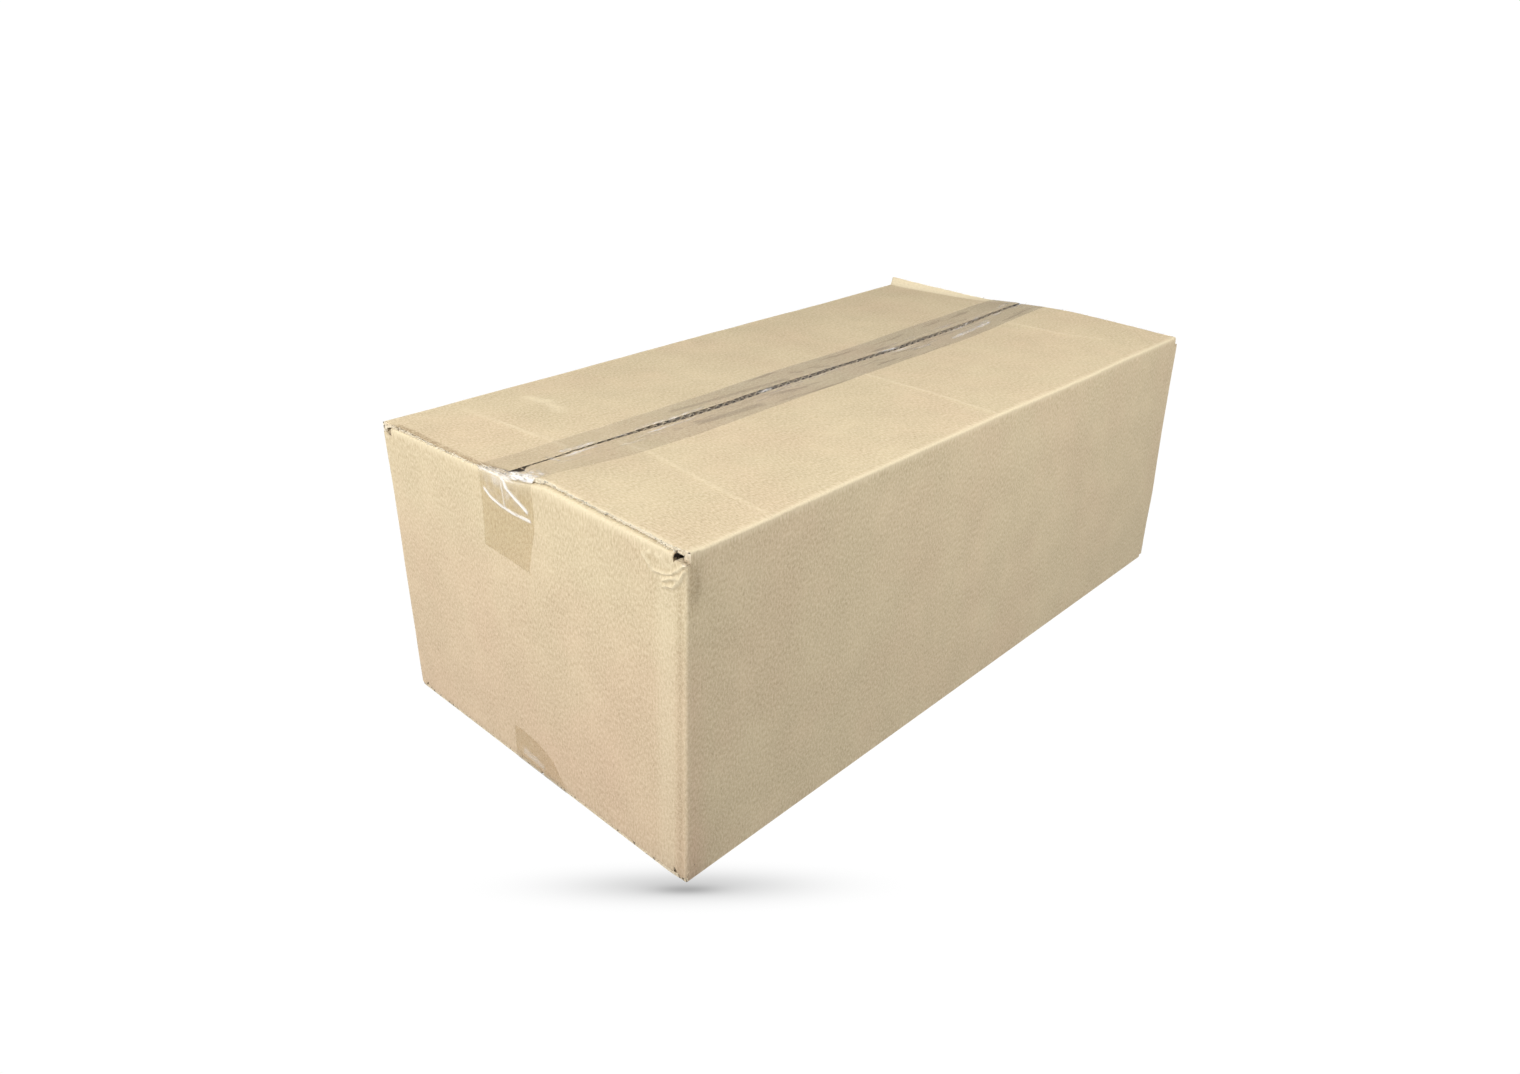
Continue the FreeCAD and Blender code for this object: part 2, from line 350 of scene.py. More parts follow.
def right_flap_rise(x, y):
    """The right flap: its sprung rear end, and its edge sunk along the seam."""
    rear = smooth_step(LONG_FLAP_END - ARCH_REACH, LONG_FLAP_END, x)
    free = smooth_step(0.0, 0.030, SIDE + y)
    arch = ARCH_RISE * rear * free * bell(y - ARCH_MIDDLE, ARCH_WIDTH)
    open_run = smooth_step(*OPEN_FROM, x) * (1 - 0.8 * bell(x - CLOSED_MIDDLE, CLOSED_STRETCH))
    dip = DIP * open_run * (1 - rear) * bell(y - TOP_SEAM, DIP_WIDTH)
    return arch - dip


def side_dent(x, y, z):
    """1 in the dent beside the near corner, in the top of the right panel."""
    across = band(x + END, 0.0005, 0.0025, 0.0080, 0.0095)
    return across * smooth_step(*DENT_FOOT, z) * (y < FOLD - SIDE)


def on_top(panels):
    """Which points belong to the two top flaps."""
    return (panels == LEFT_FLAP) | (panels == RIGHT_FLAP)


def on_front(x, panels):
    """Which points belong to the front end's panel."""
    return (panels == WALL) & (x < FOLD - END)


def dented_corner(places, panels):
    """The near corner is pushed in below its top, and the end panel draws back towards it."""
    x, y, z = places.T
    moved = places.copy()
    near = bell(np.hypot(x + END, y + SIDE), PUSH_RADIUS) * bell(z - PUSH_HEIGHT, PUSH_SPREAD)
    moved[:, :2] += PUSH * near[:, None]
    strip = np.clip(1 - (y + SIDE) / DRAWN_WIDTH, 0.0, 1.0) * smooth_step(DRAWN_REACH, 0.0, x + END)
    moved[:, 0] += DRAWN_BACK * strip
    post = smooth_step(0.0095, 0.0070, SIDE - np.abs(y)) * smooth_step(0.0060, 0.0045, END - np.abs(x))
    post = post * (panels == WALL)
    moved[:, 2] += POST_RISE * post * smooth_step(POST_TOP - POST_END, POST_TOP, z)
    moved[:, 2] -= LOW_POST_DROP * post * smooth_step(POST_FOOT + POST_END, POST_FOOT, z)
    moved[:, 1] += DENT * side_dent(x, y, z)
    return moved


def crush(places, panels):
    """How far up the layers at the front end have moved, where they are pressed together."""
    x, y, z = places.T
    front = smooth_step(CRUSH_REACH, CRUSH_FULL, x + END)
    within = smooth_step(SIDE - 0.0005, SIDE - 0.010, np.abs(y))
    flap_rise = np.interp(y, FRONT_Y, FLAP_RISE)
    squeeze = (np.interp(y, FRONT_Y, FOLD_RISE) - flap_rise) * front
    edges = flap_rise * smooth_step(FLAP_RISE_REACH, 0.0, x + LONG_FLAP_END)
    top_lift = edges + squeeze * np.clip((TOP - z) / BOARD, 0.0, 1.0)
    fold_lift = (edges + squeeze) * smooth_step(POST_TOP - CRUSH_FOOT, POST_TOP + FOLD / 2, z)
    low_share = np.where(
        panels == BOTTOM_FLAP,
        np.clip((z - UNDERSIDE) / BOARD, 0.0, 1.0),
        smooth_step(POST_FOOT + CRUSH_FOOT, POST_FOOT - FOLD / 2, z),
    )
    upper = np.where(on_top(panels), top_lift, fold_lift)
    return within * np.where(z > MIDDLE_HEIGHT, upper, -BOTTOM_CRUSH * front * low_share)


def used_shape(places, panels):
    """Where points of the new box lie on the used one."""
    x, y, z = places.T
    moved = dented_corner(places, panels)
    left = panels == LEFT_FLAP
    right = panels == RIGHT_FLAP
    moved[:, 1] += np.where(on_top(panels), seam_shift(x) * seam_share(y), 0.0)
    opened = smooth_step(*CLOSING_RANGE, x)
    gap_change = GAP_CHANGE * opened - FRONT_CLOSING * (1 - opened)
    gap_change = gap_change + FRONT_HOLE * bell(x - FRONT_HOLE_X, FRONT_HOLE_LENGTH)
    moved[:, 1] -= np.where(right, gap_change * bell(y - TOP_SEAM, GAP_WIDTH), 0.0)
    moved[:, 2] += np.where(left, left_flap_rise(x, y, z), 0.0)
    moved[:, 2] += np.where(right, right_flap_rise(x, y), 0.0)
    moved[:, 2] += crush(places, panels)
    lean = np.clip((x - LONG_FLAP_END + LIP_WIDTH) / LIP_WIDTH, 0.0, 1.0) * smooth_step(0.09, SIDE, y)
    moved[:, 1] += np.where(left, LIP_LEAN * lean * smooth_step(POST_TOP, TOP, z), 0.0)
    creased = crease_marks(places[:, :2], TOP_CREASES, CREASE_WIDTH)
    moved[:, 2] += np.where(on_top(panels), CREASE_RISE * creased, 0.0)
    crumpled = crease_marks(places[:, 1:], CORNER_CREASES, CORNER_CREASE_WIDTH)
    moved[:, 0] -= np.where(on_front(x, panels), CORNER_CREASE_RISE * crumpled, 0.0)
    shift = racked(places) - places
    return waved(moved) + shift


def used_row(x, y, z, panel):
    """Where points of one panel lie on the used box: each part is a row of numbers or one number."""
    places = np.column_stack(np.broadcast_arrays(x, y, z))
    return used_shape(places, np.full(len(places), panel))


def worn_and_painted_light_marks(places, panels):
    """How worn and pale the board is, with painted highlights along its folds, posts, rear lip and a strip
    by the near corner, up to 1, or how dark its painted shade is, as numbers below 0.
    """
    x, y, z = places.T
    end_gap = END - np.abs(x)
    side_gap = SIDE - np.abs(y)
    left = panels == LEFT_FLAP
    right = panels == RIGHT_FLAP
    outer_skin = z > TOP - LINER / 2
    # Partly worn, partly painted highlight: the corner posts and the folds along the top are paler where
    # their bends catch the light.
    post = 0.25 * bell(np.hypot(end_gap, side_gap), 0.0022)
    long_fold_worn_and_highlit = bell(np.hypot(side_gap, TOP - z), 0.0020)
    short_fold_worn_and_highlit = bell(np.hypot(end_gap, TOP - BOARD - z), 0.0023) * ~left
    # Painted highlight: a paler strip down the front end beside the near corner, where it bulges towards
    # the light.
    strip = 0.28 * band(y + SIDE, 0.006, 0.009, 0.017, 0.021) * (x < FOLD - END)
    # Painted highlight: the left flap's bent-up rear lip is paler where it faces the light.
    lip = left * smooth_step(LONG_FLAP_END - LIP_WIDTH, LONG_FLAP_END - 0.007, x)
    lip *= smooth_step(LIP_END - 0.03, LIP_END + 0.01, y)
    creases = 0.60 * on_top(panels) * crease_marks(places[:, :2], TOP_CREASES, CREASE_WIDTH)
    crumples = 0.9 * on_front(x, panels) * crease_marks(places[:, 1:], CORNER_CREASES, 0.0009)
    right_edge = 0.85 * smooth_step(0.010, 0.018, side_gap)
    front_edge = np.where(right, right_edge, 0.45 * (left & ~outer_skin))
    front_edge *= smooth_step(0.0012, 0.0, x + LONG_FLAP_END)
    scuffs = 0.8 * left * crease_marks(places[:, :2], SCUFFS, 0.0030)
    marks = [post, long_fold_worn_and_highlit, short_fold_worn_and_highlit, strip, lip, creases, crumples, front_edge, scuffs]
    worn_and_highlit = np.clip(np.max(marks, axis=0), 0.0, 1.0)

    # Dark painted shade: in the corner holes, between the liners along the seam, on the left flap's front
    # edge, in the dent and on a line down beside the near corner
    corner_hole_shade = (panels == SHORT_FLAP) & (np.abs(y) > SHORT_FLAP_END - 0.0004) & (end_gap < 0.020)
    corner_hole_shade = 1.0 * (corner_hole_shade & (z > MIDDLE_HEIGHT))
    in_seam = np.abs(y - TOP_SEAM) < SEAM_GAP / 2 + FLUTE_DEPTH + 0.0003
    between_liners = np.abs(z - TOP + BOARD / 2) < BOARD / 2 - LINER / 2
    seam_gap_shade = 1.0 * (on_top(panels) & in_seam & between_liners)
    edge_shade_line = 0.9 * left * outer_skin * smooth_step(0.0008, 0.0, x + LONG_FLAP_END)
    edge_shade_line *= smooth_step(0.010, 0.016, side_gap) * np.clip(0.8 + film_noise(y, z, 0.003, 7.0), 0.0, 1.0)
    dent = 0.32 * side_dent(x, y, z) * (panels == WALL)
    post_shade_line = 0.40 * on_front(x, panels) * bell(y + SIDE - 0.0048, 0.0008) * smooth_step(0.172, 0.164, z)
    dark = np.max([corner_hole_shade, seam_gap_shade, edge_shade_line, dent, post_shade_line], axis=0)
    return np.where(dark > 0.02, -dark, worn_and_highlit)


# Carton


def tight_turn(angle):
    """A point of a quarter turn that is squarer than a round one, because the board is crushed there."""
    across = math.copysign(abs(math.cos(angle)) ** (2 / SQUARENESS), round(math.cos(angle), 9))
    along = math.copysign(abs(math.sin(angle)) ** (2 / SQUARENESS), round(math.sin(angle), 9))
    return across, along


BEND_STEPS = 6


def bend_points(centre, first_angle):
    """Points round a quarter bend of the sheet's outer skin, seen from above."""
    points = []
    for step in range(BEND_STEPS + 1):
        across, along = tight_turn(math.radians(first_angle + 90 * step / BEND_STEPS))
        points.append((centre[0] + FOLD * across, centre[1] + FOLD * along))
    return points


def flap_profile(rise, reach, coarse):
    """A flap's skin seen along its fold: how far in, how far up and how far along each row is."""
    rows = [(0.0, 0.0, 0.0)]
    if rise:
        rows.append((0.0, rise / 2, rise / 2))
        rows.append((0.0, rise, rise))
    for step in range(1, BEND_STEPS + 1):
        angle = math.pi / 2 * step / BEND_STEPS
        across, along = tight_turn(angle)
        rows.append((FOLD * (1 - across), rise + FOLD * along, rise + FOLD * angle))
    flat_start = rows[-1]
    for inward in graded(FOLD, reach, 0.0012, coarse)[1:]:
        rows.append((inward, flat_start[1], flat_start[2] + inward - FOLD))
    return rows


def finer(lines, zones):
    """The lines with one more between neighbours in each of these zones."""
    middles = (lines[:-1] + lines[1:]) / 2
    kept = [middle for middle in middles if any(low < middle < high for low, high in zones)]
    return np.sort(np.concatenate([lines, kept]))


CREASE_ZONES = ((-0.222, -0.184), (-0.001, 0.017), (0.196, 0.212))
X_LINES = finer(graded(-LONG_FLAP_END, LONG_FLAP_END, 0.0011, 0.0044), CREASE_ZONES)
Y_LINES = graded(-SHORT_FLAP_END, SHORT_FLAP_END, 0.0011, 0.0042)


def tube_outline():
    """The panels' outer skin seen from above, from the glued edge round to the end of the tab."""
    points = [(x, SIDE) for x in X_LINES[::-1]]
    points += bend_points((FOLD - END, SIDE - FOLD), 90)
    points += [(-END, y) for y in Y_LINES[::-1]]
    points += bend_points((FOLD - END, FOLD - SIDE), 180)
    points += [(x, -SIDE) for x in X_LINES]
    points += bend_points((END - FOLD, FOLD - SIDE), 270)
    points += [(END, y) for y in Y_LINES]
    tab_face = SIDE - BOARD - GLUE
    points += bend_points((END - FOLD, tab_face - FOLD), 0)
    points += [(x, tab_face) for x in graded(END - FOLD, END - TAB_REACH, 0.003, 0.008)[1:]]
    return np.array(points)


class Skin:
    """The outer skin of the folded sheet, gathered patch by patch."""

    def __init__(self):
        self.places = []
        self.blank = []
        self.faces = []

    def add(self, rows, blank, panel):
        """Add a patch given by rows of points, with each point's place on the flat sheet."""
        rows = np.array(rows)
        first = len(self.places)
        self.places.extend(rows.reshape(-1, 3).tolist())
        self.blank.extend([(*place, panel) for place in np.array(blank).reshape(-1, 2)])
        self.faces.extend(grid_faces(rows.shape[0], rows.shape[1], first))


def add_tube(skin, outline, girth):
    """The four panels."""
    heights = graded(POST_FOOT, POST_TOP, 0.0016, 0.0095, 1.2)
    rows = [[(x, y, z) for x, y in outline] for z in heights]
    blank = [[(along, z) for along in girth] for z in heights]
    skin.add(rows, blank, WALL)


def past_fold(rise, up):
    """The height of a point that lies so far past the fold at the panels' top, or at their foot."""
    return POST_TOP + rise if up > 0 else POST_FOOT - rise


# How far back the bottom flaps' front edges are cut, and how ragged the top flaps' ends are
BOTTOM_EDGE_SHIFT = -0.0040
RAG_LENGTH = 0.0045
FRONT_RAG = 0.0008
REAR_RAG = 0.0007


def ragged(inward, side, layer):
    """How far a cut end wanders, from -1 to 1, at this reach from the flap's fold."""
    return noise.noise(Vector((inward / RAG_LENGTH, side, layer))) * min(inward / 0.01, 1)


def front_edge_shift(side, inward):
    """How far back a top flap's front edge is cut, from its fold to the seam."""
    if side > 0:
        return -0.0040 + 0.0034 * smooth_step(0.095, 0.118, inward)
    return -0.0022 + 0.0017 * smooth_step(0.010, 0.035, inward)


def add_long_flap(skin, side, up, seam, girth_start, coarse):
    """A flap of a side panel: side and up are its signs."""
    reach = SIDE - side * seam - SEAM_GAP / 2
    panel = BOTTOM_FLAP
    if up > 0:
        panel = LEFT_FLAP if side > 0 else RIGHT_FLAP
    profile = np.array(flap_profile(BOARD + LAYER_GAP, reach, coarse))
    rows = []
    blank = []
    for inward, rise, along in profile:
        xs = X_LINES.copy()
        front_share = np.clip((0.060 - (xs + LONG_FLAP_END)) / 0.060, 0, 1) ** 2
        if up < 0 and rise > 0:
            xs = xs + BOTTOM_EDGE_SHIFT * front_share
        if up > 0 and rise > 0:
            shift = front_edge_shift(side, inward) + FRONT_RAG * ragged(inward, side, 0)
            xs = xs + shift * front_share
            rear_share = np.clip((0.020 - (LONG_FLAP_END - xs)) / 0.020, 0, 1) ** 2
            xs = xs + REAR_RAG * ragged(inward, side, 5) * rear_share
        rows.append([(x, side * (SIDE - inward), past_fold(rise, up)) for x in xs])
        blank.append([(girth_start - side * x, past_fold(along, up)) for x in xs])
    skin.add(rows, blank, panel)


def add_short_flap(skin, end, up, girth_start):
    """A flap of an end panel: end and up are its signs."""
    rows = []
    blank = []
    for inward, rise, along in flap_profile(0.0, SHORT_FLAP_REACH, 0.018):
        rows.append([(end * (END - inward), y, past_fold(rise, up)) for y in Y_LINES])
        blank.append([(girth_start + end * y, past_fold(along, up)) for y in Y_LINES])
    skin.add(rows, blank, SHORT_FLAP)


def carton_skin():
    """The outer skin of the closed carton as one open mesh."""
    outline = tube_outline()
    runs = np.linalg.norm(np.diff(outline, axis=0), axis=1)
    girth = np.concatenate([[0.0], np.cumsum(runs)])
    skin = Skin()
    add_tube(skin, outline, girth)

    # Where each panel's middle lies along the girth
    quarter = np.linalg.norm(np.diff(bend_points((0.0, 0.0), 0), axis=0), axis=1).sum()
    left_middle = LONG_FLAP_END
    front_middle = left_middle + END - FOLD + quarter + SIDE - FOLD
    right_middle = front_middle + SIDE - FOLD + quarter + END - FOLD
    rear_middle = right_middle + END - FOLD + quarter + SIDE - FOLD
    for up, seam, coarse in ((1, TOP_SEAM, 0.0038), (-1, BOTTOM_SEAM, 0.015)):
        add_long_flap(skin, 1, up, seam, left_middle, coarse)
        add_long_flap(skin, -1, up, seam, right_middle, coarse)
        add_short_flap(skin, -1, up, front_middle)
        add_short_flap(skin, 1, up, rear_middle)

    mesh = bpy.data.meshes.new("carton_skin")
    mesh.from_pydata(skin.places, [], skin.faces)
    blank = mesh.attributes.new("blank", "FLOAT_VECTOR", "POINT")
    blank.data.foreach_set("vector", np.array(skin.blank).ravel())

    sheet = bmesh.new()
    sheet.from_mesh(mesh)
    bmesh.ops.remove_doubles(sheet, verts=sheet.verts, dist=0.00002)
    bmesh.ops.recalc_face_normals(sheet, faces=sheet.faces)
    sheet.faces.ensure_lookup_table()
    crumpled = set()
    for face in sheet.faces:
        x, y, z = face.calc_center_median()
        if x < FOLD - END and -SIDE <= y < 0.031 - SIDE and 0.158 < z < POST_TOP:
            crumpled.update(face.edges)
    bmesh.ops.subdivide_edges(sheet, edges=list(crumpled), cuts=3, use_grid_fill=True)
    sheet.faces.ensure_lookup_table()
    outermost = max(sheet.faces, key=lambda face: face.calc_center_median().x)
    if outermost.normal.x < 0:
        bmesh.ops.reverse_faces(sheet, faces=sheet.faces)
    sheet.to_mesh(mesh)
    sheet.free()
    return mesh


SEAM_EDGES = ((1, 1, TOP_SEAM), (-1, 1, TOP_SEAM), (1, -1, BOTTOM_SEAM), (-1, -1, BOTTOM_SEAM))


def open_flutes(mesh):
    """Sink the cut edges along the seams between the liners, where the flutes end."""
    sheet = bmesh.new()
    sheet.from_mesh(mesh)
    for side, up, seam in SEAM_EDGES:
        edge = seam + side * SEAM_GAP / 2
        level = TOP - BOARD / 2 if up > 0 else UNDERSIDE + BOARD / 2
        cut = []
        for face in sheet.faces:
            centre = face.calc_center_median()
            at_cut = abs(centre.y - edge) < 0.0002 and abs(centre.z - level) < BOARD / 2
            if at_cut and abs(face.normal.y) > 0.7:
                cut.append(face)
        bmesh.ops.inset_region(sheet, faces=cut, thickness=LINER, use_even_offset=True)
        sunk = {vertex for face in cut for vertex in face.verts}
        bmesh.ops.translate(sheet, verts=list(sunk), vec=(0, side * FLUTE_DEPTH, 0))
    sheet.to_mesh(mesh)
    sheet.free()


def point_values(mesh, name):
    """The rows of a vector that the mesh's points carry."""
    values = np.empty(len(mesh.vertices) * 3)
    mesh.attributes[name].data.foreach_get("vector", values)
    return values.reshape(-1, 3)


def give_points(mesh, name, values):
    """Give each point of the mesh a number of its own."""
    attribute = mesh.attributes.new(name, "FLOAT", "POINT")
    attribute.data.foreach_set("value", np.asarray(values, dtype=np.float32))


def make_carton(liner, raw_edge):
    """The folded sheet."""
    piece = add_piece("folded_carton", carton_skin())
    piece.data.materials.append(liner)
    piece.data.materials.append(raw_edge)
    thicken(piece, BOARD, -1, 1)
    open_flutes(piece.data)
    places = vertex_places(piece.data)
    panels = np.round(point_values(piece.data, "blank")[:, 2]).astype(int)
    give_points(piece.data, "worn_and_painted_light", worn_and_painted_light_marks(places, panels))
    move_vertices(piece.data, used_shape(places, panels))
    piece.data.shade_smooth()
    piece.data.set_sharp_from_angle(angle=math.radians(50))
    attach(piece, "root")
    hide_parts("carton")


# Flutes and torn fibres, which repeat along the cut edges


def new_tree(name, sockets):
    """An empty tree for a mesh that is worked out, with named inputs for its sizes."""
    tree = bpy.data.node_groups.new(name, "GeometryNodeTree")
    tree.interface.new_socket("Guide", in_out="INPUT", socket_type="NodeSocketGeometry")
    for title, kind, value in sockets:
        socket = tree.interface.new_socket(title, in_out="INPUT", socket_type=kind)
        if value is not None:
            socket.default_value = value
    tree.interface.new_socket("Piece", in_out="OUTPUT", socket_type="NodeSocketGeometry")
    return tree


def fill(tree, node, values):
    """Link or set a node's inputs, by name or number."""
    for socket, source in values.items():
        if isinstance(source, bpy.types.NodeSocket):
            tree.links.new(source, node.inputs[socket])
        else:
            node.inputs[socket].default_value = source


def add_node(tree, kind, values=None, **settings):
    """A node with its settings and its inputs."""
    node = tree.nodes.new(kind)
    for setting, value in settings.items():
        setattr(node, setting, value)
    fill(tree, node, values or {})
    return node


def maths(tree, operation, first, second):
    """The outcome of one sum."""
    return add_node(tree, "ShaderNodeMath", {0: first, 1: second}, operation=operation).outputs[0]


def times(tree, *factors):
    """These numbers multiplied."""
    result = factors[0]
    for factor in factors[1:]:
        result = maths(tree, "MULTIPLY", result, factor)
    return result


def plus(tree, *terms):
    """These numbers added up."""
    result = terms[0]
    for term in terms[1:]:
        result = maths(tree, "ADD", result, term)
    return result


def vector_of(tree, x=0.0, y=0.0, z=0.0):
    """A vector made of three numbers."""
    return add_node(tree, "ShaderNodeCombineXYZ", {0: x, 1: y, 2: z}).outputs[0]


def parts_of(tree, vector):
    """The three numbers of a vector."""
    return add_node(tree, "ShaderNodeSeparateXYZ", {0: vector}).outputs


def ramp(tree, value, low, high, start=0.0, finish=1.0):
    """From start at low to finish at high, even between and steady outside."""
    return add_node(tree, "ShaderNodeMapRange", {
        "Value": value,
        "From Min": low,
        "From Max": high,
        "To Min": start,
        "To Max": finish,
    }).outputs["Result"]


def finish_tree(tree, geometry, material):
    """Turn the copies into one mesh with its material."""
    real = add_node(tree, "GeometryNodeRealizeInstances", {0: geometry})
    dressed = add_node(tree, "GeometryNodeSetMaterial", {"Geometry": real.outputs[0], "Material": material})
    result = add_node(tree, "NodeGroupOutput")
    tree.links.new(dressed.outputs[0], result.inputs[0])


def medium_tree():
    """The waved paper between the liners, one run of it at each point of the guide."""
    tree = new_tree("fluted_medium", (
        ("Run", "NodeSocketFloat", 0.5),
        ("Steps", "NodeSocketInt", 800),
        ("Pitch", "NodeSocketFloat", FLUTE_PITCH),
        ("Height", "NodeSocketFloat", 0.003),
        ("Depth", "NodeSocketFloat", FLUTE_DEPTH),
        ("Paper", "NodeSocketFloat", 0.0006),
        ("Material", "NodeSocketMaterial", None),
    ))
    given = add_node(tree, "NodeGroupInput").outputs
    line = add_node(tree, "GeometryNodeCurvePrimitiveLine", {
        "Start": vector_of(tree, times(tree, given["Run"], -0.5)),
        "End": vector_of(tree, times(tree, given["Run"], 0.5)),
    })
    steps = add_node(tree, "GeometryNodeResampleCurve", {"Curve": line.outputs[0], "Count": given["Steps"]})
    along = parts_of(tree, add_node(tree, "GeometryNodeInputPosition").outputs[0])[0]
    turns = maths(tree, "DIVIDE", along, given["Pitch"])
    wave = maths(tree, "SINE", times(tree, turns, 2 * math.pi), 0.0)
    half_height = times(tree, maths(tree, "SUBTRACT", given["Height"], given["Paper"]), 0.5)
    lift = vector_of(tree, z=times(tree, wave, half_height))
    waved_line = add_node(tree, "GeometryNodeSetPosition", {"Geometry": steps.outputs[0], "Offset": lift})
    level = add_node(tree, "GeometryNodeSetCurveNormal", {0: waved_line.outputs[0]}, mode="Z_UP")
    strip = add_node(tree, "GeometryNodeCurvePrimitiveQuadrilateral", {
        "Width": given["Depth"],
        "Height": given["Paper"],
    })
    ribbon = add_node(tree, "GeometryNodeCurveToMesh", {
        "Curve": level.outputs[0],
        "Profile Curve": strip.outputs[0],
        "Fill Caps": True,
    })
    copies = add_node(tree, "GeometryNodeInstanceOnPoints", {
        "Points": given["Guide"],
        "Instance": ribbon.outputs[0],
    })
    finish_tree(tree, copies.outputs[0], given["Material"])
    return tree


def fibre_tree():
    """Torn paper fibres along the lines of the guide."""
    tree = new_tree("torn_fibres", (
        ("Spacing", "NodeSocketFloat", 0.0012),
        ("Length", "NodeSocketFloat", 0.0021),
        ("Width", "NodeSocketFloat", 0.00017),
        ("Lean", "NodeSocketVector", (0.0, 0.0, 0.0)),
        ("Spread", "NodeSocketFloat", 0.9),
        ("Seed", "NodeSocketInt", 1),
        ("Material", "NodeSocketMaterial", None),
    ))
    given = add_node(tree, "NodeGroupInput").outputs
    lines = add_node(tree, "GeometryNodeMeshToCurve", {0: given["Guide"]})
    spots = add_node(tree, "GeometryNodeCurveToPoints", {
        "Curve": lines.outputs[0],
        "Length": given["Spacing"],
    }, mode="LENGTH")
    fibre = add_node(tree, "GeometryNodeMeshCone", {
        "Vertices": 4,
        "Radius Top": 0.00003,
        "Radius Bottom": given["Width"],
        "Depth": given["Length"],
    })
    spread = given["Spread"]
    back = times(tree, spread, -1.0)
    swing = add_node(tree, "FunctionNodeRandomValue", {
        0: vector_of(tree, back, back, back),
        1: vector_of(tree, spread, spread, spread),
        "Seed": given["Seed"],
    }, data_type="FLOAT_VECTOR")
    turn = add_node(tree, "ShaderNodeVectorMath", {0: given["Lean"], 1: swing.outputs[0]}, operation="ADD")
    size = add_node(tree, "FunctionNodeRandomValue", {
        2: 0.3,
        3: 1.3,
        "Seed": plus(tree, given["Seed"], 7.0),
    }, data_type="FLOAT")
    copies = add_node(tree, "GeometryNodeInstanceOnPoints", {
        "Points": spots.outputs[0],
        "Instance": fibre.outputs[0],
        "Rotation": turn.outputs[0],
        "Scale": size.outputs[1],
    })
    finish_tree(tree, copies.outputs[0], given["Material"])
    return tree


def grown(name, guide, tree, values):
    """The plain mesh that the tree makes of a guide mesh."""
    piece = add_piece(name, guide)
    modifier = piece.modifiers.new(tree.name, "NODES")
    modifier.node_group = tree
    for item in tree.interface.items_tree:
        if item.item_type == "SOCKET" and item.in_out == "INPUT" and item.name in values:
            modifier[item.identifier] = values[item.name]
    return applied(piece)


def line_mesh(name, lines):
    """A mesh of open lines."""
    places = []
    edges = []
    for line in lines:
        first = len(places)
        places.extend([tuple(place) for place in line])
        edges.extend([(first + step, first + step + 1) for step in range(len(line) - 1)])
    mesh = bpy.data.meshes.new(name)
    mesh.from_pydata(places, edges, [])
    return mesh


def make_medium(paper):
    """The fluted medium that shows at the four cut edges along the seams."""
    guide = bpy.data.meshes.new("flute_guide")
    starts = []
    for side, up, seam in SEAM_EDGES:
        level = TOP - BOARD / 2 if up > 0 else UNDERSIDE + BOARD / 2
        starts.append((0.0005, seam + side * (SEAM_GAP / 2 + FLUTE_DEPTH / 2), level))
    guide.from_pydata(starts, [], [])
    piece = grown("fluted_medium", guide, medium_tree(), {
        "Run": 2 * LONG_FLAP_END - 0.014,
        "Height": BOARD - 2 * LINER,
        "Material": paper,
    })
    places = vertex_places(piece.data)
    above = places[:, 2] > MIDDLE_HEIGHT
    panels = np.where(places[:, 1] > TOP_SEAM, LEFT_FLAP, RIGHT_FLAP)
    panels = np.where(above, panels, BOTTOM_FLAP)
    move_vertices(piece.data, used_shape(places, panels))
    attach(piece, "root")
    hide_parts("carton")


def cut_edge_line(side, front, level, margin):
    """A line along the cut end of a top flap on the used box, from near its fold to near the seam."""
    finish = TOP_SEAM + (0.003 if side > 0 else -0.002)
    ys = np.linspace(side * (SIDE - margin), finish, 40)
    xs = LONG_FLAP_END
    if front:
        xs = np.array([front_edge_shift(side, SIDE - side * y) for y in ys]) - LONG_FLAP_END
    return used_row(xs, ys, level, LEFT_FLAP if side > 0 else RIGHT_FLAP)


# Fibres stand outwards: a quarter turn from upright, and a little more or less.
FIBRE_TURN = 1.57


def make_fibres(paper):
    """Torn fibres along the cut ends of the top flaps."""
    tree = fibre_tree()
    upper = TOP - LINER / 2
    lower = TOP - BOARD + LINER / 2
    right_edges = ((-1, True, upper, 0.006), (-1, True, lower, 0.006))
    left_edges = ((1, True, upper, 0.012), (1, True, lower, 0.012))
    rear_edges = ((-1, False, upper, 0.006), (1, False, upper, 0.006))
    runs = (
        ("front_fibres_right", right_edges, -FIBRE_TURN, 0.0005, 1),
        ("front_fibres_left", left_edges, -FIBRE_TURN, 0.0010, 2),
        ("rear_fibres", rear_edges, FIBRE_TURN, 0.0010, 3),
    )
    for name, edges, turn, spacing, seed in runs:
        lines = [cut_edge_line(*edge) for edge in edges]
        piece = grown(name, line_mesh(name, lines), tree, {
            "Spacing": spacing,
            "Lean": (0.0, turn, 0.0),
            "Seed": seed,
            "Material": paper,
        })
        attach(piece, "root")
        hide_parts("carton")


# Tapes

FILM = 0.00006
FILM_LIFT = 0.00012
BOTTOM_LIFT = 0.000015
TAPE_HALF = 0.024

# Where the middle of the top tape runs: its Y at these X
TAPE_X = (-0.265, -0.225, -0.187, -0.140, -0.073, -0.010, 0.044, 0.130, 0.265)
TAPE_Y = (0.0095, 0.0052, 0.0030, 0.0024, 0.0024, 0.0036, 0.0042, 0.0045, 0.0048)

# The front tail of the top tape: its side edges' Y at these heights, from the fold down
TAIL_Z = (0.1855, 0.1740, 0.1640, 0.1410)
TAIL_LEFT = (0.0310, 0.0300, 0.0298, 0.0310)
TAIL_RIGHT = (-0.0150, -0.0176, -0.0172, -0.0108)
TAIL_CUT_LEFT = 0.1412
TAIL_CUT_RIGHT = 0.1370

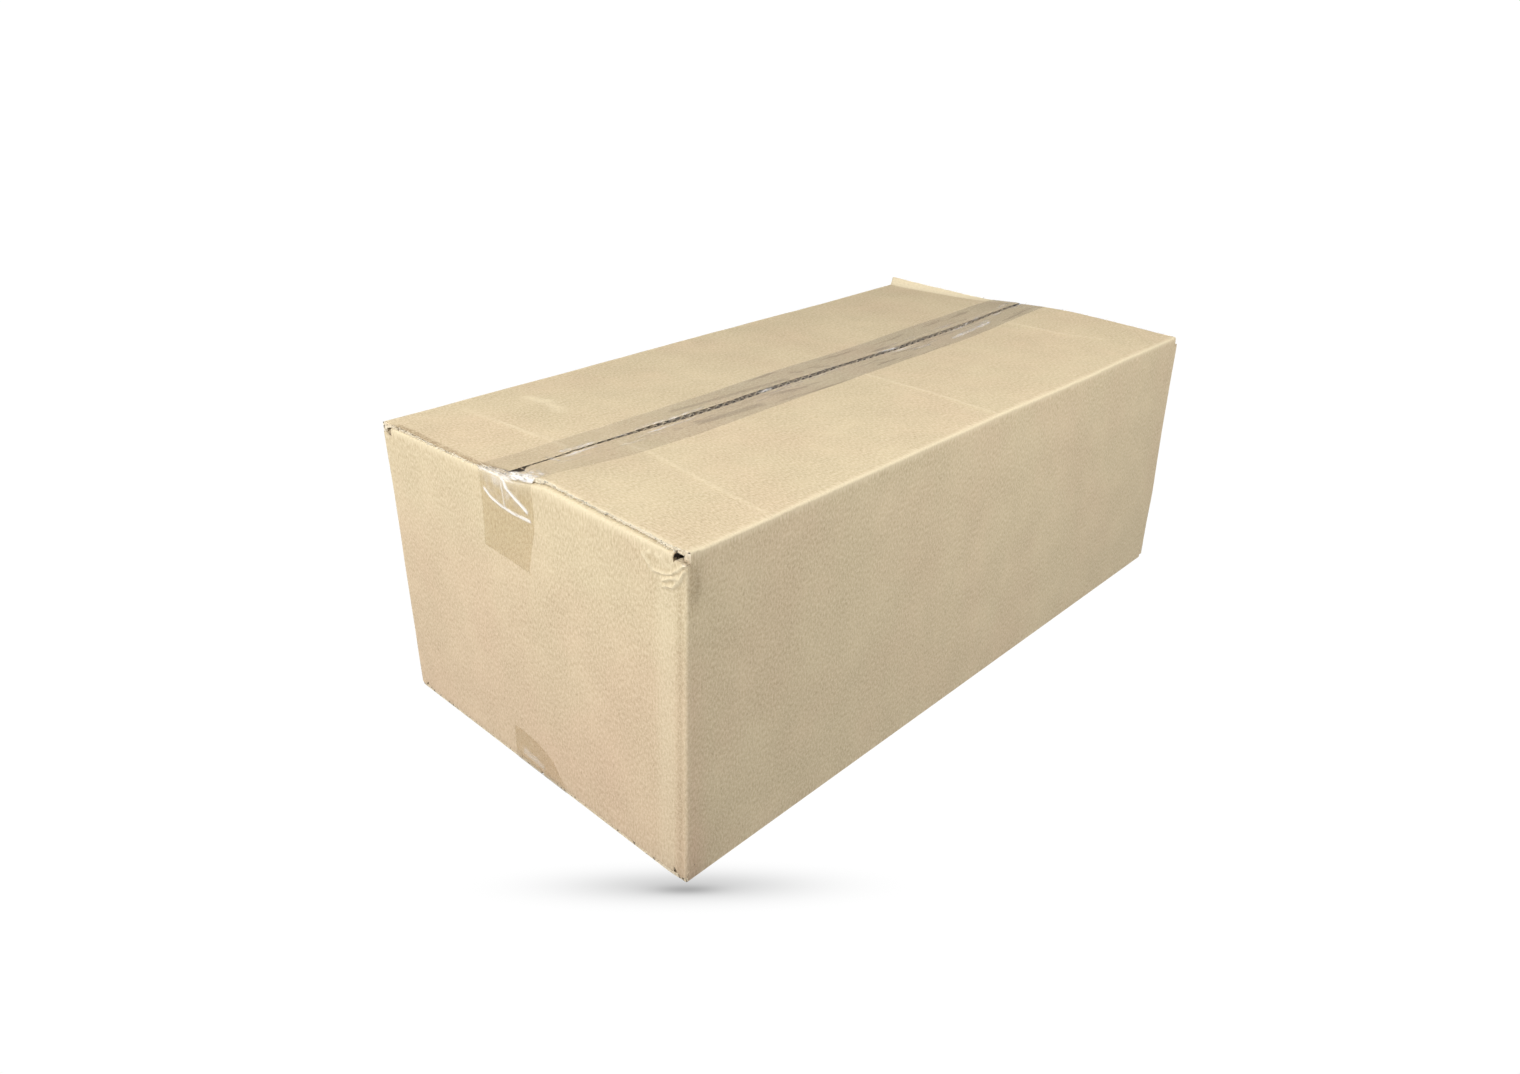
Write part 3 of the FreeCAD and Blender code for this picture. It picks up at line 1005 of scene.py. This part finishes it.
# Wrinkles in the tail, as Y and Z of their points, and how far they stand up
TAIL_WRINKLES = (
    (((0.0262, 0.1760), (0.0205, 0.1728), (0.0120, 0.1705), (0.0018, 0.1692), (-0.0140, 0.1692)), 0.0006),
    (((0.0110, 0.1860), (0.0073, 0.1820), (-0.0011, 0.1773), (-0.0118, 0.1732)), 0.0007),
    (((0.0105, 0.1860), (0.0098, 0.1790), (0.0086, 0.1710)), 0.0003),
)
WRINKLE_WIDTH = 0.0008

# At both ends the film leaves the fold at this share of its quarter turn, counted from level.
FREE_FROM = 0.38

# Where the top tape has let go of the board, as X and Y of points along each patch, and its half width
LET_GO = (
    (((-0.1326, 0.0172), (-0.0846, 0.0131), (-0.0338, 0.0086)), 0.0022),
    (((-0.1326, -0.0073), (-0.1088, -0.0099), (-0.0821, -0.0119)), 0.0040),
    (((-0.0631, -0.0033), (-0.0346, -0.0090)), 0.0018),
    (((-0.0189, 0.0171), (-0.0113, 0.0126)), 0.0018),
    (((0.0016, 0.0125), (0.0102, 0.0087)), 0.0018),
    (((-0.1516, -0.0050), (-0.1485, -0.0069)), 0.0016),
)

# Where it is milky beside the seam and glare is painted on it, in the same way
MILKY_GLARE_PATCHES = (
    (((-0.1685, 0.0091), (-0.1425, 0.0079), (-0.1142, 0.0086)), 0.0009),
    (((-0.2224, 0.0123), (-0.2135, 0.0099), (-0.2024, 0.0100)), 0.0020),
    (((-0.2338, 0.0112), (-0.2321, 0.0009)), 0.0012),
    (((0.1394, -0.0102), (0.1671, -0.0087), (0.1922, -0.0078)), 0.0026),
    (((0.0874, -0.0050), (0.1092, -0.0078)), 0.0012),
)


class Film:
    """A strip of film, gathered row by row from its front tail to its rear tail."""

    def __init__(self, columns):
        self.shares = columns
        self.rows = []
        self.marks = []

    def add(self, places, haze, along):
        """Add a row: its points, how milky each is with its painted highlights (below 0 let go or greyer,
        and on the bottom tape painted shade towards its foot), and how far along it lies.
        """
        self.rows.append(places)
        across = self.shares * TAPE_HALF
        self.marks.append(np.column_stack(np.broadcast_arrays(along, across, haze)))


def wrinkled(y, z):
    """How far the tail's wrinkles stand out from the end panel, and how white they are, with painted
    highlights on their ridges.
    """
    points = np.column_stack([y, z])
    rise = np.zeros(len(y))
    white = np.zeros(len(y))
    for line, height in TAIL_WRINKLES:
        mark = bell(line_distance(points, line), WRINKLE_WIDTH)
        rise = np.maximum(rise, height * mark)
        # Painted highlight: the wrinkles' ridges are whitened.
        white = np.maximum(white, mark * height / 0.0009)
    patchy = 0.5 + film_noise(y, z, 0.0045, 8.0)
    between = smooth_step(0.171, 0.176, z) * band(y, -0.012, 0.004, 0.022, 0.030)
    broken = np.clip(0.95 + 0.5 * film_noise(y, z, 0.006, 9.0), 0.5, 1.0)
    return rise, np.maximum(white * broken, 0.20 * between * patchy)


def patches(points, shapes):
    """1 within a patch's width of its line, and nothing outside it."""
    marks = np.zeros(len(points))
    for line, width in shapes:
        marks = np.maximum(marks, smooth_step(width, 0.6 * width, line_distance(points, line)))
    return marks


def film_noise(a, b, scale, layer):
    """Smooth random numbers over a surface."""
    return np.array([noise.noise(Vector((u / scale, v / scale, layer))) for u, v in zip(a, b)])


def on_flaps(x, y):
    """Points on the two top flaps as they lie now, bridged across the seam."""
    flat_y = y - seam_shift(x) * seam_share(y)
    over = smooth_step(TOP_SEAM - 0.0012, TOP_SEAM + 0.0022, flat_y)[:, None]
    return used_row(x, flat_y, TOP, LEFT_FLAP) * over + used_row(x, flat_y, TOP, RIGHT_FLAP) * (1 - over)


def on_end(end, y, z):
    """Points on an end panel as it stands now."""
    return used_row(end * END, y, z, WALL)


def round_fold(end, y, angle):
    """Points of film round the fold at the top of an end panel, the angle from level to upright."""
    across, along = tight_turn(angle)
    x = end * (END - FOLD + (FOLD + FILM_LIFT) * along)
    return used_row(x, y, POST_TOP + (FOLD + FILM_LIFT) * across, WALL)


def tail_y(shares, z):
    """Where a row of the front tail lies across, at a height."""
    left = np.interp(z, TAIL_Z[::-1], TAIL_LEFT[::-1])
    right = np.interp(z, TAIL_Z[::-1], TAIL_RIGHT[::-1])
    return right + (left - right) * (1 + shares) / 2


def add_front_tail(film):
    """The top tape's front tail, from its cut up to the fold."""
    shares = film.shares
    cut = TAIL_CUT_RIGHT + (TAIL_CUT_LEFT - TAIL_CUT_RIGHT) * (1 + shares) / 2
    cut = cut + 0.0006 * film_noise(shares, shares * 0, 0.12, 2.0)
    for share in np.linspace(0, 1, 46):
        z = cut + (POST_TOP - cut) * share
        y = tail_y(shares, z)
        rise, white = wrinkled(y, z)
        places = on_end(-1, y, z)
        places[:, 0] -= FILM_LIFT + rise
        film.add(places, white, float(np.mean(z)) - POST_TOP)


def add_front_bend(film, top_y):
    """Round the front end's fold, until it leaves the board."""
    side_y = tail_y(film.shares, POST_TOP)
    arc_rows = 5
    for row in range(1, arc_rows):
        angle = math.pi / 2 * (1 - row / arc_rows * (1 - FREE_FROM))
        y = side_y + (top_y - side_y) * row / 30
        places = round_fold(-1, y, angle)
        rise, white = wrinkled(y, np.full(len(y), POST_TOP + 0.0045 * row / arc_rows))
        places[:, 0] -= rise * 0.7
        places[:, 2] += rise * 0.7
        # Painted glow: a whitish highlight fading in below the crinkled film beside the seam.
        glow = band(y, -0.016, 0.002, 0.030, 0.037)
        glow = glow * np.clip(0.45 + 0.3 * film_noise(y, y * 0 + row * 0.001, 0.004, 3.0), 0.2, 0.6)
        film.add(places, np.maximum(white, glow * (row / arc_rows) ** 2), 0.004 * row / arc_rows)


def add_front_slant(film, top_y, edge_x):
    """Slanting up from the fold to the flaps' front edges, loose and white beside the seam, with painted
    glints on its crinkles and a painted glow.
    """
    lower = film.rows[-1]
    upper = on_flaps(edge_x, top_y)
    upper[:, 2] += FILM_LIFT
    for share in np.linspace(0, 1, 15)[1:]:
        places = lower + (upper - lower) * share
        loose = band(top_y, -0.026, -0.010, 0.002, 0.010) * smooth_step(0.15, 0.5, share)
        glow = band(top_y, 0.0, 0.008, 0.030, 0.037) * (1 - 0.85 * share)
        streak = film_noise(places[:, 1], places[:, 0] * 5 + places[:, 2] * 5, 0.0050, 4.0)
        streak = streak + 0.5 * film_noise(places[:, 1], places[:, 0] * 3, 0.0018, 6.0)
        swell = math.sin(math.pi * share)
        places[:, 2] += (0.0002 + 0.0003 * np.abs(streak)) * loose * swell
        places[:, 0] -= 0.0002 * streak * loose * swell
        # Painted highlight: white streaks on the loose film and a glow beside it.
        glow = glow * np.clip(0.45 + 0.4 * streak, 0, 0.7)
        white = np.maximum(loose * np.clip(0.72 + 0.9 * streak, 0, 1), glow)
        film.add(places, white, 0.004 + 0.008 * share)


def add_run(film, edge_x):
    """Over the flaps from their front edges, in finer steps near the front."""
    rear_x = LONG_FLAP_END + 0.0003
    length = 2 * LONG_FLAP_END
    runs = np.concatenate([np.linspace(0, 0.060, 50)[1:], np.linspace(0.060, length, 160)[1:]])
    for run in runs / length:
        x = edge_x + (rear_x - edge_x) * run
        y = np.interp(x, TAPE_X, TAPE_Y) + film.shares * TAPE_HALF
        places = on_flaps(x, y)
        near_front = bell(float(np.mean(x)) + 0.260, 0.007)
        loose = near_front * band(y, -0.018, -0.008, 0.003, 0.009)
        ripple = film_noise(x, y, 0.0026, 4.0)
        flat = np.column_stack([x, y])
        broken = np.clip(0.25 + 0.5 * film_noise(x, y, 0.0018, 5.0), 0.05, 0.5)
        # Milky patches beside the seam, with painted glare on them.
        creased = patches(flat, MILKY_GLARE_PATCHES) * broken
        places[:, 2] += FILM_LIFT + 0.0004 * loose * np.abs(ripple)
        # Painted glints whiten the crinkled film near the front edges.
        white = np.maximum(loose * np.clip(0.35 + ripple, 0, 1), creased) - 0.8 * patches(flat, LET_GO)
        film.add(places, white, 0.012 + float(np.mean(x)) + END)


def add_rear_tail(film):
    """From the flaps' rear edges to the rear end's fold, round it and down."""
    last = film.rows[-1]
    y = np.interp(END, TAPE_X, TAPE_Y) + film.shares * TAPE_HALF
    first_fold = round_fold(1, y, math.pi / 2 * FREE_FROM)
    for share in np.linspace(0, 1, 7)[1:]:
        film.add(last + (first_fold - last) * share, 0.0, 0.55 + 0.006 * share)
    for share in np.linspace(0, 1, 6)[1:]:
        turned = round_fold(1, y, math.pi / 2 * (FREE_FROM + (1 - FREE_FROM) * share))
        film.add(turned, 0.0, 0.556 + 0.004 * share)
    cut = TOP_TAPE_END + 0.003 * (1 + film.shares) / 2
    for share in np.linspace(0, 1, 25)[1:]:
        z = POST_TOP + (cut - POST_TOP) * share
        places = on_end(1, y, z)
        places[:, 0] += FILM_LIFT
        film.add(places, 0.0, 0.56 + POST_TOP - float(np.mean(z)))


def top_film():
    """The top tape: down the front end, over the flaps and down the rear end."""
    film = Film(np.linspace(-1, 1, 49))
    top_y = np.interp(-END, TAPE_X, TAPE_Y) + film.shares * TAPE_HALF
    edge_x = np.array([-LONG_FLAP_END + front_edge_shift(1 if y > TOP_SEAM else -1, SIDE - abs(y))
                       for y in top_y - seam_shift(-0.26)])
    edge_x = np.convolve(np.pad(edge_x, 2, "edge"), np.full(5, 0.2), "valid")
    add_front_tail(film)
    add_front_bend(film, top_y)
    add_front_slant(film, top_y, edge_x)
    add_run(film, edge_x)
    add_rear_tail(film)
    return film


# Scratches in the front tail of the bottom tape, as Y and Z of their points
TAIL_SCRATCHES = (
    ((0.0111, 0.0094), (0.0086, 0.0129), (0.0057, 0.0122)),
    ((0.0080, 0.0099), (0.0020, 0.0105), (-0.0045, 0.0114)),
    ((0.0028, 0.0119), (-0.0032, 0.0125)),
)
TAIL_HAZE = ((0.0090, 0.0120), (0.0000, 0.0105), (-0.0080, 0.0095))

# How high its front tail reaches, at these shares of its half width
CUT_SHARES = (-1, -0.93, -0.55, 0.0, 0.75, 1)
CUT_HEIGHTS = (0.0062, 0.0085, 0.0175, 0.0225, 0.0245, 0.0238)
REAR_CUT_HEIGHT = 0.0235


def bottom_film():
    """The bottom tape: it lies under the box and comes up a little at both ends."""
    film = Film(np.linspace(-1, 1, 65))
    shares = film.shares
    y = BOTTOM_TAPE_MIDDLE + shares * TAPE_HALF
    front_cut = np.interp(shares, CUT_SHARES, CUT_HEIGHTS)
    rear_cut = REAR_CUT_HEIGHT - 0.003 * (1 + shares)
    level = UNDERSIDE - BOTTOM_LIFT

    def bent(end, turned):
        """The film round the fold at the foot of an end panel, from 0 upright to 1 level."""
        across, along = tight_turn(math.pi / 2 * turned)
        x = end * (END - FOLD + (FOLD + FILM_LIFT) * across)
        return used_row(x, y, POST_FOOT - (POST_FOOT - level) * along, BOTTOM_FLAP)

    def upright(end, cut, rows):
        """The film on an end panel, from its cut down to the fold."""
        for row in range(rows):
            z = cut + (np.minimum(POST_FOOT, cut - 0.0005) - cut) * row / (rows - 1)
            places = on_end(end, y, z)
            places[:, 0] += end * (FILM_LIFT + 0.0003 * smooth_step(0, 4, row))
            flat = np.column_stack([y, z])
            scratches = 0.24 * crease_marks(flat, TAIL_SCRATCHES, 0.0006)
            haze = bell(line_distance(flat, TAIL_HAZE), 0.0040)
            # Greyer away from the haze, and darker towards the floor as painted shade.
            grey = 0.15 * (1 - haze) + 0.55 * smooth_step(0.0085, 0.0050, z)
            yield places, np.maximum(0.17 * haze - grey, scratches - 0.5 * grey), float(np.mean(z))

    for places, milky, along in upright(-1, front_cut, 32):
        film.add(places, milky, -along)
    for row in range(1, 7):
        # Painted shade: the film round the front foot is darkened.
        film.add(bent(-1, row / 6), -0.6, 0.001 * row - 0.008)
    for x in np.linspace(-(END - FOLD), END - FOLD, 90)[1:]:
        film.add(used_row(x, y, level, BOTTOM_FLAP), 0.0, END + float(x))
    for row in range(1, 7):
        film.add(bent(1, 1 - row / 6), 0.0, 0.54 + 0.001 * row)
    for places, milky, along in reversed(list(upright(1, rear_cut, 16))):
        film.add(places, milky, 0.55 + along)
    return film


def make_tape(name, node, film, material):
    """A strip of film as a thin closed mesh."""
    rows = np.array(film.rows)
    mesh = bpy.data.meshes.new(name)
    mesh.from_pydata(rows.reshape(-1, 3).tolist(), [], grid_faces(rows.shape[0], rows.shape[1], 0))
    marks = mesh.attributes.new("film", "FLOAT_VECTOR", "POINT")
    marks.data.foreach_set("vector", np.array(film.marks).ravel())
    piece = add_piece(name, mesh)
    mesh.materials.append(material)
    up = 1 if node == "top_tape" else -1
    outermost = max(mesh.polygons, key=lambda face: up * face.center.z)
    if up * outermost.normal.z < 0:
        mesh.flip_normals()
    thicken(piece, FILM, 1)
    piece.data.shade_smooth()
    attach(piece, "root")
    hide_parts(node)


# Materials


def shader_tree(name):
    """A new material, its nodes and its main shader."""
    material = bpy.data.materials.new(name)
    material.use_nodes = True
    return material, material.node_tree, material.node_tree.nodes["Principled BSDF"]


def blotches(tree, place, scale, detail, low, high, roughness=0.5):
    """Noise over a surface, stretched so that it runs from 0 to 1 between two levels."""
    pattern = add_node(tree, "ShaderNodeTexNoise", {
        "Vector": place,
        "Scale": scale,
        "Detail": detail,
        "Roughness": roughness,
    })
    return ramp(tree, pattern.outputs["Fac"], low, high)


def mixed(tree, share, first, second, blend="MIX"):
    """One colour laid over another."""
    node = add_node(tree, "ShaderNodeMix", {"Factor": share}, data_type="RGBA", blend_type=blend)
    for socket, colour in ((6, first), (7, second)):
        fill(tree, node, {socket: colour if isinstance(colour, bpy.types.NodeSocket) else (*colour, 1)})
    return node.outputs[2]


def carried(tree, name, output="Fac"):
    """What the mesh's points carry under this name."""
    return add_node(tree, "ShaderNodeAttribute", attribute_name=name).outputs[output]


def surface_place(tree):
    """Where on the piece the colour is asked for."""
    return add_node(tree, "ShaderNodeTexCoord").outputs["Object"]


def relief(tree, height, depth, strength):
    """A fine relief for a shader, from a height between 0 and 1."""
    values = {"Height": height, "Distance": depth, "Strength": strength}
    return add_node(tree, "ShaderNodeBump", values).outputs[0]


def stretched(tree, place, scale):
    """A place with each of its parts scaled by its own number."""
    return add_node(tree, "ShaderNodeMapping", {"Vector": place, "Scale": scale}).outputs[0]


KRAFT = (0.528, 0.424, 0.271)
KRAFT_DARK = (0.405, 0.318, 0.194)
KRAFT_PALE = (0.700, 0.605, 0.420)
FIBRE_AND_SHADE_DARK = (0.300, 0.215, 0.125)
WARM_TINT = (1.0, 0.900, 0.935)


def warmth(tree, blank):
    """Where the paper is redder: in slow clouds, and low on the front end."""
    place = parts_of(tree, surface_place(tree))
    low_front = times(tree, ramp(tree, place[2], 0.150, 0.030), ramp(tree, place[0], -0.250, -0.262))
    slow = blotches(tree, stretched(tree, blank, (1.0, 0.8, 1.0)), 17, 3, 0.42, 0.66)
    return plus(tree, times(tree, low_front, 0.65), times(tree, slow, 0.32))


def kraft_liner():
    """The brown outer paper: cloudy, finely streaked along the flutes, pale where it is worn and where
    highlights are painted, and darkened with dots where shade is painted.
    """
    material, tree, shader = shader_tree("kraft_liner")
    blank = stretched(tree, carried(tree, "blank", "Vector"), (1.0, 1.0, 0.0))
    worn_and_painted_light = carried(tree, "worn_and_painted_light")
    clouds = blotches(tree, blank, 26, 4, 0.34, 0.66)
    streaks = blotches(tree, stretched(tree, blank, (1.0, 0.50, 1.0)), 900, 3, 0.36, 0.64, 0.7)
    mottle = blotches(tree, stretched(tree, blank, (1.0, 0.70, 1.0)), 75, 3, 0.36, 0.64)
    specks = blotches(tree, stretched(tree, blank, (1.0, 0.45, 1.0)), 620, 2, 0.62, 0.74)
    colour = mixed(tree, times(tree, clouds, 0.55), KRAFT, KRAFT_DARK)
    colour = mixed(tree, times(tree, mottle, 0.34), colour, KRAFT_DARK)
    colour = mixed(tree, times(tree, streaks, 0.66), colour, KRAFT_PALE)
    colour = mixed(tree, times(tree, specks, 0.40), colour, FIBRE_AND_SHADE_DARK)
    colour = mixed(tree, warmth(tree, blank), colour, WARM_TINT, "MULTIPLY")
    # Pale where worn and where highlights are painted on folds, posts, the rear lip and the near-corner
    # strip.
    worn_and_highlit = times(tree, worn_and_painted_light, plus(tree, times(tree, streaks, 0.4), 0.65))
    colour = mixed(tree, worn_and_highlit, colour, KRAFT_PALE)
    # Painted shade: numbers below 0 darken the paper in dots.
    dots = plus(tree, blotches(tree, blank, 900, 2, 0.42, 0.58), 0.25)
    colour = mixed(tree, times(tree, worn_and_painted_light, -1.0, dots), colour, FIBRE_AND_SHADE_DARK)
    flutes = add_node(tree, "ShaderNodeTexWave", {
        "Vector": blank,
        "Scale": 1 / FLUTE_PITCH / math.pi,
    }, wave_type="BANDS", bands_direction="X").outputs["Fac"]
    height = plus(tree, times(tree, streaks, 0.5), times(tree, mottle, 0.5), times(tree, flutes, 0.25))
    fill(tree, shader, {
        "Base Color": colour,
        "Roughness": 0.78,
        "Specular IOR Level": 0.25,
        "Normal": relief(tree, height, 0.00012, 0.5),
    })
    return material


TORN_PALE = (0.800, 0.740, 0.600)
# The colour of painted shade in the pits, holes and gaps of the cut board
PIT_DARK = (0.060, 0.045, 0.032)


def cut_board(name, colour, dark, scale):
    """Cut or inner paper: rough and uneven, pale where worn and where highlights are painted, with painted
    shade in its pits and where the points carry it.
    """
    material, tree, shader = shader_tree(name)
    place = surface_place(tree)
    worn_and_painted_light = carried(tree, "worn_and_painted_light")
    grain = blotches(tree, place, scale, 4, 0.35, 0.65)
    pits = blotches(tree, place, 480, 2, 0.60, 0.66)
    worn_and_highlit = mixed(tree, times(tree, worn_and_painted_light, 0.9), mixed(tree, grain, colour, dark), TORN_PALE)
    # Painted shade: dark in the pits and where the points carry numbers below 0.
    pit_and_gap_shade = maths(tree, "MAXIMUM", times(tree, pits, 0.8), times(tree, worn_and_painted_light, -1.0))
    fill(tree, shader, {
        "Base Color": mixed(tree, pit_and_gap_shade, worn_and_highlit, PIT_DARK),
        "Roughness": 0.9,
        "Normal": relief(tree, grain, 0.0003, 0.7),
    })
    return material


FILM_TAIL = (0.400, 0.250, 0.030)
FILM_NEAR = (0.345, 0.290, 0.225)
FILM_FAR = (0.215, 0.220, 0.255)
FILM_DARK = (0.150, 0.140, 0.155)
FILM_MILKY_AND_GLINT = (0.985, 0.970, 0.940)


def clear_film():
    """Clear packing tape: glossy, slightly grey, darker where it has let go and where shade is painted at
    the bottom tape's foot, and milky where creased, with painted glints and glare there.
    """
    material, tree, shader = shader_tree("clear_film")
    along, across, haze = parts_of(tree, carried(tree, "film", "Vector"))
    flat = vector_of(tree, along, across)
    loose = blotches(tree, stretched(tree, flat, (0.10, 1.0, 1.0)), 150, 3, 0.58, 0.63)
    loose = times(tree, loose, ramp(tree, along, 0.160, 0.240))
    # Numbers below 0 darken it: where it has let go, and painted shade on the bottom tape's foot.
    loose = maths(tree, "MAXIMUM", loose, times(tree, haze, -1.0))
    glare = blotches(tree, stretched(tree, flat, (0.08, 1.0, 1.0)), 300, 3, 0.58, 0.70)
    near_seam = ramp(tree, maths(tree, "ABSOLUTE", plus(tree, across, 0.002), 0.0), 0.010, 0.003)
    top = ramp(tree, along, -0.004, 0.006)
    far = ramp(tree, along, 0.020, 0.220)
    # Painted glare along the seam near the front, added to the milky creases and painted glints.
    milky = maths(tree, "MAXIMUM", haze, times(tree, glare, near_seam, top, 0.50))
    colour = mixed(tree, far, mixed(tree, top, FILM_TAIL, FILM_NEAR), FILM_FAR)
    colour = mixed(tree, loose, colour, FILM_DARK)
    colour = mixed(tree, ramp(tree, milky, 0.0, 0.3), colour, FILM_MILKY_AND_GLINT)
    veil = plus(tree, times(tree, loose, 0.075), 0.080, times(tree, top, -0.022))
    veil = plus(tree, veil, times(tree, far, 0.027), times(tree, milky, 0.62))
    fill(tree, shader, {"Base Color": colour, "Alpha": veil, "Roughness": 0.14, "IOR": 1.47})
    return material


# Floor, light and camera


# The soft shadow under the near corner: its middle, and the sizes of its core and of its edge
SHADOW_X = -0.2691
SHADOW_Y = -0.1325
SHADOW_CORE = (0.0171, 0.0033)
SHADOW_EDGE = (0.0608, 0.0104)
CORE_LEAD = 0.0029
CORE_DARKNESS = 0.24
EDGE_DARKNESS = 0.37
FLOOR_GLOW = 1.012
FLOOR_REACH = 60.0


def oval(tree, along, across, size):
    """1 in the middle of an oval, falling smoothly to nothing round it."""
    first = maths(tree, "DIVIDE", along, size[0])
    second = maths(tree, "DIVIDE", across, size[1])
    square = plus(tree, times(tree, first, first), times(tree, second, second))
    return maths(tree, "POWER", math.e, times(tree, square, -1.0))


def white_floor():
    """Pure white, with one soft oval shadow that lies aslant."""
    material, tree, shader = shader_tree("white_floor")
    place = parts_of(tree, surface_place(tree))
    x = plus(tree, place[0], -SHADOW_X)
    y = plus(tree, place[1], -SHADOW_Y)
    along = times(tree, maths(tree, "SUBTRACT", x, y), math.sqrt(0.5))
    across = times(tree, plus(tree, x, y), math.sqrt(0.5))
    core = times(tree, oval(tree, along, plus(tree, across, CORE_LEAD), SHADOW_CORE), -CORE_DARKNESS)
    edge = times(tree, oval(tree, along, across, SHADOW_EDGE), -EDGE_DARKNESS)
    fill(tree, shader, {
        "Base Color": (0, 0, 0, 1),
        "Roughness": 1.0,
        "Specular IOR Level": 0.0,
        "Emission Color": (1, 1, 1, 1),
        "Emission Strength": plus(tree, core, edge, FLOOR_GLOW),
    })
    return material


def lay_floor():
    """A white floor under the box."""
    mesh = bpy.data.meshes.new("floor")
    corners = [(x * FLOOR_REACH, y * FLOOR_REACH, 0) for x, y in ((-1, -1), (1, -1), (1, 1), (-1, 1))]
    mesh.from_pydata(corners, [], [(0, 1, 2, 3)])
    floor = add_piece("floor", mesh)
    mesh.materials.append(white_floor())


def hang_light(name, place, aim, width, power):
    """A soft square light at a place, aimed at a point."""
    light = bpy.data.lights.new(name, "AREA")
    light.size = width
    light.energy = power
    lamp = bpy.data.objects.new(name, light)
    lamp.location = place
    lamp.rotation_euler = (Vector(aim) - Vector(place)).to_track_quat("-Z", "Y").to_euler()
    bpy.context.scene.collection.objects.link(lamp)


def light_room():
    """Soft studio light, strongest on the top and the front end."""
    world = bpy.data.worlds.new("room")
    world.use_nodes = True
    tree = world.node_tree
    background = tree.nodes["Background"]
    height = parts_of(tree, add_node(tree, "ShaderNodeTexCoord").outputs["Generated"])[2]
    glow = ramp(tree, height, 0.045, 0.090, 1.05, 0.02)
    fill(tree, background, {"Color": (1, 1, 1, 1), "Strength": glow})
    bpy.context.scene.world = world
    hang_light("front", (-1.06, 0.0, 0.917), (-0.24, 0.05, 0.14), width=0.40, power=12.6)
    hang_light("left", (-0.62, 0.30, 0.62), (-0.24, 0.08, 0.16), width=0.25, power=1.1)
    hang_light("above", (0.324, -0.20, 1.20), (0.05, -0.12, 0.16), width=0.50, power=7.9)
    hang_light("right", (0.075, -0.634, 0.50), (0.0, 0.0, 0.15), width=0.20, power=2.05)
    bpy.context.scene.view_settings.view_transform = "Standard"


# The camera that was fitted to the box's corners in the photograph
CAMERA_PLACE = (-0.56497, -0.44052, 0.40743)
CAMERA_FORWARD = (0.64509, 0.64310, -0.41265)
CAMERA_UP = (0.29504, 0.28852, 0.91088)
CAMERA_LENS = 25.303
CAMERA_SHIFT = (0.0374, -0.0165)


def stand_camera():
    """The camera at the photograph's viewing angle."""
    data = bpy.data.cameras.new("camera")
    data.sensor_width = 36.0
    data.lens = CAMERA_LENS
    data.shift_x, data.shift_y = CAMERA_SHIFT
    camera = bpy.data.objects.new("camera", data)
    forward = Vector(CAMERA_FORWARD).normalized()
    right = forward.cross(Vector(CAMERA_UP)).normalized()
    turn = Matrix((right, right.cross(forward), -forward)).transposed()
    camera.matrix_world = Matrix.Translation(Vector(CAMERA_PLACE)) @ turn.to_4x4()
    bpy.context.scene.collection.objects.link(camera)
    bpy.context.scene.camera = camera


stand_camera()
light_room()
lay_floor()
paper = cut_board("cut_board", (0.68, 0.57, 0.40), (0.48, 0.38, 0.25), 700)
torn = cut_board("torn_fibre", (0.90, 0.86, 0.74), (0.78, 0.70, 0.54), 900)
film_material = clear_film()
make_carton(kraft_liner(), paper)
make_medium(cut_board("medium_paper", (0.80, 0.68, 0.50), (0.62, 0.50, 0.34), 600))
make_fibres(torn)
make_tape("top_film", "top_tape", top_film(), film_material)
make_tape("bottom_film", "bottom_tape", bottom_film(), film_material)
